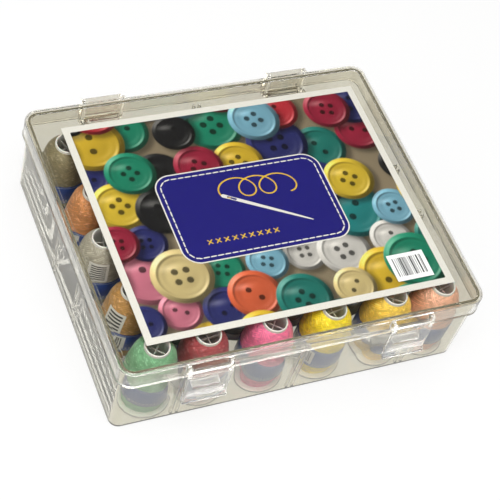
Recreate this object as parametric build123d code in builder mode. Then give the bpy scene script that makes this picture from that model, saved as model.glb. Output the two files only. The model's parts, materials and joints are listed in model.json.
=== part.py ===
"""Thread spool storage box: a clear hinged case with two front latches.

The case is a drafted tray with divider guides on its walls, a shallow lid that closes over it,
two pinned hinges at the back and two pinned latches at the front. A printed card lies under the
lid's panel and a small sticker on top of it. The tray holds five rows of six cones. Each cone is
a hollow moulded core with a base flange, the thread wound on it and a paper band round the thread.

Origin: centre of the tray's underside. X runs to the right, Y to the back and Z up, in mm.
"""

import os
from math import atan, cos, degrees, radians, sin

from build123d import *

# ------------------------------------------------------------------ cones and their cells
columns = 6
row_names = ("front", "second", "middle", "fourth", "back")
rows = len(row_names)
cone_height = 68.5
flange_radius = 21.5
flange_thickness = 1.6
core_foot_radius = 15.0
core_ring_radius = 9.8
core_wall = 1.7
ring_height = 2.4
ring_rounding = 0.6
spoke_thickness = 1.0
spoke_depth = 2.5
spoke_below_ring = 6.0
cell_play = 5.6

thread_radius = 19.5
thread_foot_radius = 16.5
thread_shoulder_radius = 17.4
thread_foot_height = 13.0
thread_waist_height = 40.0
thread_shoulder_height = 54.0
winding_clearance = 0.05
band_bottom = 15.0
band_width = 21.0
band_thickness = 0.25

# ------------------------------------------------------------------ tray
wall = 1.8
floor = 2.0
draft = 1.0
tray_corner = 8.0
tray_bottom_rounding = 2.0
cone_clearance = 0.05
headroom = 6.2
guide_slot = 3.4
guide_rib = 1.5
guide_reach = 3.0
guide_height = 59.0

# ------------------------------------------------------------------ lid
lid_gap = 1.1
lid_wall = 1.6
lid_panel = 1.8
lid_recess = 0.8
lid_recess_inset = 6.0
lid_recess_corner = 5.0
lid_skirt = 15.0
lid_top_rounding = 2.2
lid_bead = 0.5
lid_bead_height = 2.0

# ------------------------------------------------------------------ hinges at the back
hinge_place = 82.0
hinge_width = 36.0
hinge_cheek = 3.0
hinge_drop = 6.0
hinge_pin_radius = 1.2
hinge_barrel_radius = 2.8
hinge_standoff = 4.4
hinge_leaf = 1.7
hinge_leaf_below_top = 0.6
hinge_gusset = 5.6
hinge_gusset_setback = 0.6
hinge_toe_length = 2.2
lid_opening_angle = 110.0

# ------------------------------------------------------------------ latches at the front
latch_place = 84.0
latch_width = 36.0
latch_ear = 3.0
latch_pivot_below_top = 8.0
latch_pivot_out = 3.3
latch_pin_radius = 1.0
latch_knuckle_radius = 2.6
latch_shelf = 1.8
latch_shelf_below_top = 0.9
latch_plate = 1.7
latch_plate_out = 1.2
latch_length = 34.0
latch_lip = 2.6
latch_lip_height = 4.5
latch_grip_ribs = 3
latch_grip_pitch = 2.6
latch_grip_radius = 0.45
hook_below_pivot = 17.0
hook_width = 22.0
hook_height = 2.2
hook_bite = 1.4
catch_width = 20.0
catch_reach = 2.4
catch_lip = 0.9
catch_ramp = 3.4

# ------------------------------------------------------------------ running fits and gaps
pin_clearance = 0.05
pin_proud = 0.3
side_clearance = 0.3
swing_clearance = 0.3

# ------------------------------------------------------------------ card and sticker
card_length = 258.0
card_depth = 209.5
card_thickness = 0.4
card_shift_x = 3.9
card_shift_y = 0.8
sticker_length = 32.0
sticker_depth = 25.0
sticker_thickness = 0.15
sticker_from_card_side = 14.5
sticker_from_card_front = 9.5

# How the play along each row is shared: left wall, between the cones, right wall.
row_shares = (
    (8.5, 0.8, 7.0, 7.0, 9.4, 0.5, 0.4),
    (7.0, 5.0, 4.5, 4.0, 6.0, 4.5, 2.6),
    (3.4, 5.2, 6.0, 4.4, 3.8, 5.4, 5.4),
    (7.2, 3.0, 5.0, 6.4, 4.2, 4.0, 3.8),
    (3.2, 6.2, 4.0, 5.2, 4.6, 6.0, 4.4),
)

# How the play along each column is shared: front wall, between the cones, back wall.
column_shares = (
    (0.5, 6.4, 5.6, 3.6, 8.2, 3.7),
    (0.6, 5.8, 4.4, 6.2, 5.0, 6.0),
    (0.4, 4.6, 6.6, 5.0, 6.4, 5.0),
    (0.5, 6.6, 4.8, 5.6, 4.4, 6.1),
    (0.4, 5.2, 6.2, 4.4, 6.0, 5.8),
    (0.6, 6.0, 5.4, 5.6, 5.2, 5.2),
)

# Which way the loose cones of the front row and the left column lean, to the right and to the
# back, as shares of the lean at which a cone's band would pass over its own flange's edge.
leans = {
    (0, 0): (0.2, -0.9),
    (1, 0): (-0.7, -0.6),
    (2, 0): (0.5, -0.8),
    (3, 0): (0.6, -0.7),
    (4, 0): (0.8, -0.5),
    (5, 0): (0.7, -0.6),
    (0, 1): (0.4, -0.5),
    (0, 2): (-0.5, 0.3),
    (0, 3): (0.5, -0.6),
    (0, 4): (-0.3, -0.6),
}

# ------------------------------------------------------------------ worked-out sizes
cell = 2 * flange_radius + cell_play
tray_inner_length = columns * cell
tray_inner_depth = rows * cell
tray_foot_length = tray_inner_length + 2 * wall
tray_foot_depth = tray_inner_depth + 2 * wall
tray_rim_length = tray_foot_length + 2 * draft
tray_rim_depth = tray_foot_depth + 2 * draft
rim_height = floor + cone_height + headroom
lid_top = rim_height + lid_panel + lid_recess
lid_skirt_bottom = rim_height - lid_skirt
lid_inner_length = tray_rim_length + 2 * lid_gap
lid_inner_depth = tray_rim_depth + 2 * lid_gap
lid_length = lid_inner_length + 2 * lid_wall
lid_depth = lid_inner_depth + 2 * lid_wall
lid_inner_corner = tray_corner + draft + lid_gap
band_outer_radius = thread_radius + winding_clearance + band_thickness
lean_limit = degrees(atan((flange_radius - band_outer_radius) / (band_bottom + band_width)))

hinge_axis_height = lid_skirt_bottom - hinge_drop
hinge_wall_face = tray_foot_depth / 2 + draft * hinge_axis_height / rim_height
hinge_axis_y = hinge_wall_face + hinge_standoff
hinge_leaf_inner = hinge_barrel_radius + swing_clearance
hinge_leaf_top = lid_top - hinge_leaf_below_top
hinge_gap_between_cheeks = hinge_width - 2 * hinge_cheek

latch_axis_height = lid_top - latch_pivot_below_top
latch_axis_y = -lid_depth / 2 - latch_pivot_out
latch_gap_between_ears = latch_width - 2 * latch_ear
latch_ear_radius = latch_knuckle_radius
latch_shelf_top = lid_top - latch_shelf_below_top
latch_shelf_front = latch_axis_y - latch_plate_out
latch_foot = latch_axis_height - latch_length
catch_bottom = latch_axis_height - hook_below_pivot
catch_wall_face = -tray_foot_depth / 2 - draft * catch_bottom / rim_height
catch_tip = catch_wall_face - catch_reach
hook_tip = catch_tip + hook_bite
hook_top = catch_bottom - swing_clearance


def core_radius(height):
    """Outside radius of a cone's conical core at a height above its base."""
    share = (height - flange_thickness) / (cone_height - flange_thickness)
    return core_foot_radius + (core_ring_radius - core_foot_radius) * share


def spread(count, diameter, length, shares):
    """Centres of round pieces in a line, with the play left between them shared out."""
    shares = [shares[gap % len(shares)] for gap in range(count + 1)]
    play = (length - count * diameter) / sum(shares)
    place = -length / 2 - diameter / 2
    centres = []
    for share in shares[:count]:
        place += diameter + play * share
        centres.append(place)
    return centres


def cone_plane(column, row):
    """The plane a cone stands on: its spot on the floor, leaning as loose cones do."""
    x = spread(columns, 2 * flange_radius, tray_inner_length, row_shares[row])[column]
    column_share = column_shares[column % len(column_shares)]
    y = spread(rows, 2 * flange_radius, tray_inner_depth, column_share)[row]
    lean_x, lean_y = leans.get((column, row), (0, 0))
    tilt_x = radians(lean_limit * lean_x)
    tilt_y = radians(lean_limit * lean_y)
    upward = Vector(sin(tilt_x), sin(tilt_y), cos(tilt_x) * cos(tilt_y)).normalized()
    lift = flange_radius * Vector(upward.X, upward.Y, 0).length
    return Plane(origin=(x, y, floor + cone_clearance + lift), z_dir=upward)


def in_place(part, plane):
    """A cone's piece, made upright at the origin, moved onto the plane it stands on."""
    return part.moved(plane.location)


os.makedirs("parts", exist_ok=True)


def save(part, name):
    """Label a finished piece and write its file."""
    part.label = name
    export_step(part, f"parts/{name}.step")


# ------------------------------------------------------------------ base tray
with BuildPart() as base_tray:
    with BuildSketch(Plane.XY):
        RectangleRounded(tray_foot_length, tray_foot_depth, tray_corner)
    with BuildSketch(Plane.XY.offset(rim_height)):
        RectangleRounded(tray_rim_length, tray_rim_depth, tray_corner + draft)
    loft()
    fillet(base_tray.faces().sort_by(Axis.Z)[0].edges(), radius=tray_bottom_rounding)
    with BuildSketch(Plane.XY.offset(floor)):
        RectangleRounded(tray_inner_length, tray_inner_depth, tray_corner - wall)
    with BuildSketch(Plane.XY.offset(rim_height)):
        RectangleRounded(
            tray_inner_length + 2 * draft, tray_inner_depth + 2 * draft, tray_corner + draft - wall
        )
    loft(mode=Mode.SUBTRACT)

    # Divider guides: pairs of ribs on the walls, two cells apart on the long walls.
    rib_root = (draft + wall) / 2
    rib_length = guide_reach + rib_root
    rib_centre = (guide_slot + guide_rib) / 2
    with BuildSketch(Plane.XY.offset(floor)):
        for side in (-1, 1):
            rib_y = side * (tray_inner_depth / 2 + rib_root - rib_length / 2)
            for guide_x in (-2 * cell, 0, 2 * cell):
                with Locations((guide_x - rib_centre, rib_y), (guide_x + rib_centre, rib_y)):
                    Rectangle(guide_rib, rib_length)
            rib_x = side * (tray_inner_length / 2 + rib_root - rib_length / 2)
            for guide_y in (-cell / 2, cell / 2):
                with Locations((rib_x, guide_y - rib_centre), (rib_x, guide_y + rib_centre)):
                    Rectangle(rib_length, guide_rib)
    extrude(amount=guide_height)

    # Hinge barrels on the back wall, each on a block and a gusset.
    for place in (-hinge_place, hinge_place):
        barrel_length = hinge_gap_between_cheeks - 2 * side_clearance
        with BuildSketch(Plane.YZ.offset(place - barrel_length / 2)):
            with Locations((hinge_axis_y, hinge_axis_height)):
                Circle(hinge_barrel_radius)
            with BuildLine():
                Polyline(
                    (hinge_wall_face - wall / 2, hinge_axis_height + hinge_barrel_radius),
                    (hinge_axis_y, hinge_axis_height + hinge_barrel_radius),
                    (hinge_axis_y, hinge_axis_height - hinge_barrel_radius),
                    (hinge_axis_y - hinge_gusset_setback, hinge_axis_height - hinge_barrel_radius),
                    (hinge_wall_face, hinge_axis_height - hinge_barrel_radius - hinge_gusset),
                    (hinge_wall_face - wall / 2, hinge_axis_height - hinge_barrel_radius - hinge_gusset),
                    close=True,
                )
            make_face()
            with Locations((hinge_axis_y, hinge_axis_height)):
                Circle(hinge_pin_radius + pin_clearance, mode=Mode.SUBTRACT)
        extrude(amount=barrel_length)

    # Catches on the front wall: a ramp above, a flat ledge below for the latch's hook.
    for place in (-latch_place, latch_place):
        with BuildSketch(Plane.YZ.offset(place - catch_width / 2)):
            with BuildLine():
                Polyline(
                    (catch_wall_face + wall / 2, catch_bottom),
                    (catch_tip, catch_bottom),
                    (catch_tip, catch_bottom + catch_lip),
                    (catch_wall_face, catch_bottom + catch_lip + catch_ramp),
                    (catch_wall_face + wall / 2, catch_bottom + catch_lip + catch_ramp),
                    close=True,
                )
            make_face()
        extrude(amount=catch_width)
save(base_tray.part, "base_tray")

# ------------------------------------------------------------------ lid
with BuildPart() as lid_cover:
    with BuildSketch(Plane.XY.offset(lid_skirt_bottom)):
        RectangleRounded(lid_length, lid_depth, lid_inner_corner + lid_wall)
    extrude(amount=lid_top - lid_skirt_bottom)
    fillet(lid_cover.faces().sort_by(Axis.Z)[-1].edges(), radius=lid_top_rounding)
    with BuildSketch(Plane.XY.offset(lid_skirt_bottom)):
        RectangleRounded(
            lid_length + 2 * lid_bead, lid_depth + 2 * lid_bead, lid_inner_corner + lid_wall + lid_bead
        )
    extrude(amount=lid_bead_height)
    with BuildSketch(Plane.XY.offset(lid_skirt_bottom)):
        RectangleRounded(lid_inner_length, lid_inner_depth, lid_inner_corner)
    extrude(amount=lid_skirt, mode=Mode.SUBTRACT)
    with BuildSketch(Plane.XY.offset(lid_top - lid_recess)):
        RectangleRounded(
            lid_length - 2 * lid_recess_inset, lid_depth - 2 * lid_recess_inset, lid_recess_corner
        )
    extrude(amount=lid_recess, mode=Mode.SUBTRACT)

    # Hinge leaves: a hood behind the lid's back edge, with a cheek at each end down to the pin.
    leaf_outer_y = hinge_axis_y + hinge_leaf_inner + hinge_leaf
    skirt_root = lid_depth / 2 - lid_wall / 2
    open_turn = radians(lid_opening_angle)
    toe_reach = hinge_standoff - swing_clearance
    toe_tip = (
        hinge_axis_y - toe_reach * cos(open_turn),
        hinge_axis_height - toe_reach * sin(open_turn),
    )
    toe_heel = (
        toe_tip[0] + hinge_toe_length * sin(open_turn),
        toe_tip[1] - hinge_toe_length * cos(open_turn),
    )
    for place in (-hinge_place, hinge_place):
        with BuildSketch(Plane.YZ.offset(place - hinge_width / 2)):
            with BuildLine():
                Polyline(
                    (skirt_root, hinge_leaf_top),
                    (leaf_outer_y - lid_top_rounding, hinge_leaf_top),
                    (leaf_outer_y, hinge_leaf_top - lid_top_rounding),
                    (leaf_outer_y, hinge_axis_height + hinge_barrel_radius),
                    (hinge_axis_y + hinge_leaf_inner, hinge_axis_height + hinge_barrel_radius),
                    (hinge_axis_y + hinge_leaf_inner, hinge_leaf_top - hinge_leaf),
                    (skirt_root, hinge_leaf_top - hinge_leaf),
                    close=True,
                )
            make_face()
        extrude(amount=hinge_width)
        for cheek_x in (place - hinge_width / 2, place + hinge_width / 2 - hinge_cheek):
            with BuildSketch(Plane.YZ.offset(cheek_x)):
                with BuildLine():
                    Polyline(
                        (skirt_root, hinge_leaf_top),
                        (leaf_outer_y - lid_top_rounding, hinge_leaf_top),
                        (leaf_outer_y, hinge_leaf_top - lid_top_rounding),
                        (leaf_outer_y, hinge_axis_height),
                        toe_heel,
                        toe_tip,
                        (hinge_axis_y - hinge_barrel_radius, hinge_axis_height),
                        (skirt_root, lid_skirt_bottom),
                        close=True,
                    )
                make_face()
                with Locations((hinge_axis_y, hinge_axis_height)):
                    Circle(hinge_barrel_radius)
                    Circle(hinge_pin_radius + pin_clearance, mode=Mode.SUBTRACT)
            extrude(amount=hinge_cheek)

    # Latch shelves: a ledge on the front skirt with an ear at each end for the latch's pin.
    skirt_front = -skirt_root
    for place in (-latch_place, latch_place):
        with BuildSketch(Plane.YZ.offset(place - latch_width / 2)):
            with BuildLine():
                Polyline(
                    (skirt_front, latch_shelf_top),
                    (latch_shelf_front, latch_shelf_top),
                    (latch_shelf_front, latch_shelf_top - latch_shelf),
                    (skirt_front, latch_shelf_top - latch_shelf),
                    close=True,
                )
            make_face()
        extrude(amount=latch_width)
        for ear_x in (place - latch_width / 2, place + latch_width / 2 - latch_ear):
            with BuildSketch(Plane.YZ.offset(ear_x)):
                with BuildLine():
                    Polyline(
                        (skirt_front, latch_shelf_top),
                        (latch_shelf_front, latch_shelf_top),
                        (latch_axis_y - latch_ear_radius, latch_axis_height),
                        (latch_axis_y, latch_axis_height - latch_ear_radius),
                        (skirt_front, latch_axis_height - latch_ear_radius),
                        close=True,
                    )
                make_face()
                with Locations((latch_axis_y, latch_axis_height)):
                    Circle(latch_ear_radius)
                    Circle(latch_pin_radius + pin_clearance, mode=Mode.SUBTRACT)
            extrude(amount=latch_ear)
save(lid_cover.part, "lid_cover")

# ------------------------------------------------------------------ pins
for side, name in ((-1, "left"), (1, "right")):
    with BuildPart() as hinge_pin:
        pin_length = hinge_width + 2 * pin_proud
        with BuildSketch(Plane.YZ.offset(side * hinge_place - pin_length / 2)):
            with Locations((hinge_axis_y, hinge_axis_height)):
                Circle(hinge_pin_radius)
        extrude(amount=pin_length)
        chamfer(hinge_pin.edges().filter_by(GeomType.CIRCLE), length=pin_proud)
    save(hinge_pin.part, f"hinge_pin_{name}")

    with BuildPart() as latch_pin:
        pin_length = latch_width + 2 * pin_proud
        with BuildSketch(Plane.YZ.offset(side * latch_place - pin_length / 2)):
            with Locations((latch_axis_y, latch_axis_height)):
                Circle(latch_pin_radius)
        extrude(amount=pin_length)
        chamfer(latch_pin.edges().filter_by(GeomType.CIRCLE), length=pin_proud)
    save(latch_pin.part, f"latch_pin_{name}")

# ------------------------------------------------------------------ latches
plate_front = latch_axis_y - latch_plate_out - latch_plate
plate_back = latch_axis_y - latch_plate_out
lip_front = plate_front - latch_lip
lip_top = latch_foot + latch_lip_height
plate_top = latch_axis_height - latch_knuckle_radius - side_clearance
for side, name in ((-1, "left"), (1, "right")):
    place = side * latch_place
    with BuildPart() as latch:
        # Knuckle and neck between the ears.
        neck_width = latch_gap_between_ears - 2 * side_clearance
        with BuildSketch(Plane.YZ.offset(place - neck_width / 2)):
            with Locations((latch_axis_y, latch_axis_height)):
                Circle(latch_knuckle_radius)
            with BuildLine():
                Polyline(
                    (latch_axis_y, latch_axis_height),
                    (latch_axis_y - latch_knuckle_radius, latch_axis_height),
                    (plate_front, plate_top),
                    (plate_front, plate_top - latch_plate),
                    (plate_back, plate_top - latch_plate),
                    (latch_axis_y, latch_axis_height - latch_knuckle_radius),
                    close=True,
                )
            make_face()
            with Locations((latch_axis_y, latch_axis_height)):
                Circle(latch_pin_radius + pin_clearance, mode=Mode.SUBTRACT)
        extrude(amount=neck_width)

        # Full-width tongue below the ears, ending in a lip for the thumb.
        with BuildSketch(Plane.YZ.offset(place - latch_width / 2)):
            with BuildLine():
                Polyline(
                    (plate_front, plate_top),
                    (plate_front, lip_top),
                    (lip_front, latch_foot),
                    (lip_front + latch_plate, latch_foot),
                    (plate_back, lip_top - latch_plate),
                    (plate_back, plate_top),
                    close=True,
                )
            make_face()
        extrude(amount=latch_width)

        # Hook that reaches under the catch on the tray.
        with BuildSketch(Plane.YZ.offset(place - hook_width / 2)):
            with BuildLine():
                Polyline(
                    (plate_back - latch_plate / 2, hook_top),
                    (hook_tip, hook_top),
                    (hook_tip, hook_top - hook_height / 2),
                    (hook_tip - hook_height / 2, hook_top - hook_height),
                    (plate_back - latch_plate / 2, hook_top - hook_height),
                    close=True,
                )
            make_face()
        extrude(amount=hook_width)

        # Grip ribs across the lower front of the tongue.
        for rib in range(latch_grip_ribs):
            rib_height = lip_top + latch_grip_pitch * (rib + 1)
            with BuildSketch(Plane.YZ.offset(place - latch_gap_between_ears / 2)):
                with Locations((plate_front, rib_height)):
                    Circle(latch_grip_radius)
            extrude(amount=latch_gap_between_ears)
    save(latch.part, f"latch_{name}")

# ------------------------------------------------------------------ card and sticker
with BuildPart() as printed_card:
    with BuildSketch(Plane.XY.offset(rim_height - card_thickness)):
        with Locations((card_shift_x, card_shift_y)):
            Rectangle(card_length, card_depth)
    extrude(amount=card_thickness)
save(printed_card.part, "printed_card")

sticker_x = card_shift_x + card_length / 2 - sticker_from_card_side - sticker_length / 2
sticker_y = card_shift_y - card_depth / 2 + sticker_from_card_front + sticker_depth / 2
with BuildPart() as bar_sticker:
    with BuildSketch(Plane.XY.offset(lid_top - lid_recess)):
        with Locations((sticker_x, sticker_y)):
            Rectangle(sticker_length, sticker_depth)
    extrude(amount=sticker_thickness)
save(bar_sticker.part, "bar_sticker")

# ------------------------------------------------------------------ the three pieces of a cone
with BuildPart() as core:
    with BuildSketch(Plane.XZ):
        with BuildLine():
            Polyline(
                (core_radius(0) - core_wall, 0),
                (flange_radius, 0),
                (flange_radius, flange_thickness),
                (core_foot_radius, flange_thickness),
                (core_ring_radius, cone_height),
                (core_ring_radius - core_wall, cone_height),
                close=True,
            )
        make_face()
    revolve(axis=Axis.Z)
    fillet(core.faces().sort_by(Axis.Z)[-1].edges(), radius=ring_rounding)
    spoke_height = cone_height - spoke_below_ring
    spoke_length = 2 * core_radius(spoke_height) - core_wall
    with BuildSketch(Plane.XY.offset(spoke_height - spoke_depth)):
        Rectangle(spoke_length, spoke_thickness)
        Rectangle(spoke_thickness, spoke_length)
    extrude(amount=spoke_depth)

with BuildPart() as thread:
    thread_bottom = flange_thickness + winding_clearance
    thread_top = cone_height - ring_height
    with BuildSketch(Plane.XZ):
        with BuildLine():
            side_of_package = Polyline(
                (core_radius(thread_bottom) + winding_clearance, thread_bottom),
                (thread_foot_radius, thread_bottom),
                (thread_radius, thread_foot_height),
                (thread_radius, thread_waist_height),
                (thread_shoulder_radius, thread_shoulder_height),
            )
            TangentArc(
                side_of_package @ 1,
                (core_radius(thread_top) + winding_clearance, thread_top),
                tangent=side_of_package % 1,
            )
            Line(
                (core_radius(thread_top) + winding_clearance, thread_top),
                (core_radius(thread_bottom) + winding_clearance, thread_bottom),
            )
        make_face()
    revolve(axis=Axis.Z)

with BuildPart() as band:
    with BuildSketch(Plane.XY.offset(band_bottom)):
        Circle(band_outer_radius)
        Circle(band_outer_radius - band_thickness, mode=Mode.SUBTRACT)
    extrude(amount=band_width)

# ------------------------------------------------------------------ thirty cones in the tray
for row, row_name in enumerate(row_names):
    places = [cone_plane(column, row) for column in range(columns)]
    for number, plane in enumerate(places, start=1):
        save(in_place(thread.part, plane), f"thread_{row_name}_{number}")
    save(Compound(children=[in_place(core.part, plane) for plane in places]), f"cores_{row_name}")
    save(Compound(children=[in_place(band.part, plane) for plane in places]), f"bands_{row_name}")
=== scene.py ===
"""Looks of a thread spool storage box: a clear hinged case that holds thirty wound thread cones.

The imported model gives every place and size, and this file gives the finishes. The moulded pieces
are merged copies of their nodes with softened edges. The thread, the cone cores, the paper bands,
the printed card and the bar sticker are surfaces worked out with numpy, each one standing for its
node. Lengths are in metres and angles in radians unless a name says otherwise.
"""

from __future__ import annotations

import json
import logging
import math
from dataclasses import dataclass, field
from enum import Enum

import bmesh
import bpy
import numpy as np
from mathutils import Matrix, Vector

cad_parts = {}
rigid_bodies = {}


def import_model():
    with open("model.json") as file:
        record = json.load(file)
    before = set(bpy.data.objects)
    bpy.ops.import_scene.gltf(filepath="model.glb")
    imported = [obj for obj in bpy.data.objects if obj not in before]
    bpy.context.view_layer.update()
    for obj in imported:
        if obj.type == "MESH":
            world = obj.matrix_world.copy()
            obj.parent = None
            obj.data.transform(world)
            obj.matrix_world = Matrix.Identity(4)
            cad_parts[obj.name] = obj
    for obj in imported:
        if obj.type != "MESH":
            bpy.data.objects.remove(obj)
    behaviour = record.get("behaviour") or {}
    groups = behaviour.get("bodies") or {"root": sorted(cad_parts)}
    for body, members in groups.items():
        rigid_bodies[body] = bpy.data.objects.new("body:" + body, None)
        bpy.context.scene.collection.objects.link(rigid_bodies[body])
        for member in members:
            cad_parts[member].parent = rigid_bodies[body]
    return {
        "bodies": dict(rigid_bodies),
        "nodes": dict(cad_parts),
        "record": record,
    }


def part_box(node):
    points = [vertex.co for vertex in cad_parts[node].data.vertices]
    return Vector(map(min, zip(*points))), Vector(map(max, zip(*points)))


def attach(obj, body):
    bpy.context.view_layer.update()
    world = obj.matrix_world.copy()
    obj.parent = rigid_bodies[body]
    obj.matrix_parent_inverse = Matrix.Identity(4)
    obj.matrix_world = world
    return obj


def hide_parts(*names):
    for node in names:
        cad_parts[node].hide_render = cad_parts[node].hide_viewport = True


LOG = logging.getLogger("thread_box")
MILLIMETRE = 0.001

Colour = tuple[float, float, float]


class Row(str, Enum):
    """The five rows of cones, from the latches to the hinges."""

    FRONT = "front"
    SECOND = "second"
    MIDDLE = "middle"
    FOURTH = "fourth"
    BACK = "back"


class Body(str, Enum):
    """The bodies that pieces ride on."""

    TRAY = "tray"
    LID = "lid"
    LATCH_LEFT = "latch_left"
    LATCH_RIGHT = "latch_right"


# ---------------------------------------------------------------------------- node materials
class Bench:
    """A workbench for the nodes of one material or world."""

    def __init__(self, name: str, world: bpy.types.World | None = None) -> None:
        """Starts an empty material, or clears a world's nodes to work on those.

        Args:
            name: The material's name.
            world: The world to work on in place of a material.
        """
        self.material = world or bpy.data.materials.new(name)
        self.material.use_nodes = True
        self.tree = self.material.node_tree
        self.tree.nodes.clear()
        self.output = self.tree.nodes.new("ShaderNodeOutput" + ("World" if world else "Material"))

    def add(self, kind: str, inputs: dict | None = None, **settings: object) -> bpy.types.Node:
        """Adds a node.

        Args:
            kind: The node's type, without its ShaderNode prefix.
            inputs: Values or sockets for its inputs, by name or by number.
            **settings: The node's own properties.

        Returns:
            The new node.
        """
        node = self.tree.nodes.new("ShaderNode" + kind)
        for key, value in settings.items():
            setattr(node, key, value)
        for key, value in (inputs or {}).items():
            self.feed(node.inputs[key], value)
        return node

    def feed(self, socket: bpy.types.NodeSocket, value: object) -> None:
        """Links a socket to an input, or sets the input's own value."""
        if isinstance(value, bpy.types.NodeSocket):
            self.tree.links.new(value, socket)
        elif isinstance(value, tuple) and socket.type == "RGBA":
            socket.default_value = (*value[:3], 1.0)
        else:
            socket.default_value = value

    def maths(self, operation: str, *values: object, clamp: bool = False) -> bpy.types.NodeSocket:
        """Adds a Math node and returns its output."""
        inputs = dict(enumerate(values))
        return self.add("Math", inputs, operation=operation, use_clamp=clamp).outputs[0]

    def blend(self, share: object, first: object, second: object) -> bpy.types.NodeSocket:
        """Mixes two colours.

        Args:
            share: How much of the second colour shows.
            first: The colour at a share of 0.
            second: The colour at a share of 1.

        Returns:
            The mixed colour.
        """
        node = self.add("Mix", data_type="RGBA")
        self.feed(node.inputs["Factor"], share)
        self.feed(node.inputs[6], first)
        self.feed(node.inputs[7], second)
        return node.outputs[2]

    def number(self, share: object, first: object, second: object) -> bpy.types.NodeSocket:
        """Mixes two numbers, with the second showing where the share is 1."""
        node = self.add("Mix", data_type="FLOAT")
        self.feed(node.inputs["Factor"], share)
        self.feed(node.inputs[2], first)
        self.feed(node.inputs[3], second)
        return node.outputs[0]

    def step(self, value: object, low: float, high: float) -> bpy.types.NodeSocket:
        """Rises smoothly from 0 to 1 while the value goes from low to high."""
        node = self.add("MapRange", interpolation_type="SMOOTHSTEP")
        self.feed(node.inputs["Value"], value)
        node.inputs["From Min"].default_value = low
        node.inputs["From Max"].default_value = high
        return node.outputs["Result"]

    def finish(self, shader: bpy.types.NodeSocket) -> bpy.types.Material:
        """Joins the shader to the output and returns the material."""
        self.tree.links.new(shader, self.output.inputs["Surface"])
        return self.material


@dataclass(frozen=True)
class ClearPlastic:
    """Moulded clear styrene: tinted glass with faint flow ripples that lets the lamps through."""

    name: str
    tint: Colour
    lamp_tint: Colour
    ambient_tint: Colour
    clearness: float = 0.97
    roughness: float = 0.03
    refraction: float = 1.5
    ripple_size: float = 55.0
    ripple_height: float = 0.0006
    ripple_strength: float = 0.035

    def material(self) -> bpy.types.Material:
        """Returns the finished material."""
        bench = Bench(self.name)
        place = bench.add("TexCoord").outputs["Object"]
        flow = bench.add(
            "TexNoise", {"Vector": place, "Scale": self.ripple_size, "Detail": 2.0, "Distortion": 0.8}
        )
        bump = bench.add(
            "Bump",
            {
                "Strength": self.ripple_strength,
                "Distance": self.ripple_height,
                "Height": flow.outputs["Fac"],
            },
        )
        glass = bench.add(
            "BsdfPrincipled",
            {
                "Base Color": self.tint,
                "Roughness": self.roughness,
                "IOR": self.refraction,
                "Transmission Weight": self.clearness,
                "Normal": bump.outputs["Normal"],
            },
        )
        path = bench.add("LightPath")
        tint = bench.blend(path.outputs["Is Diffuse Ray"], self.lamp_tint, self.ambient_tint)
        through = bench.add("BsdfTransparent", {"Color": tint})
        unbent = bench.maths("MAXIMUM", path.outputs["Is Shadow Ray"], path.outputs["Is Diffuse Ray"])
        mixed = bench.add("MixShader", {0: unbent, 1: glass.outputs[0], 2: through.outputs[0]})
        return bench.finish(mixed.outputs[0])


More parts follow.
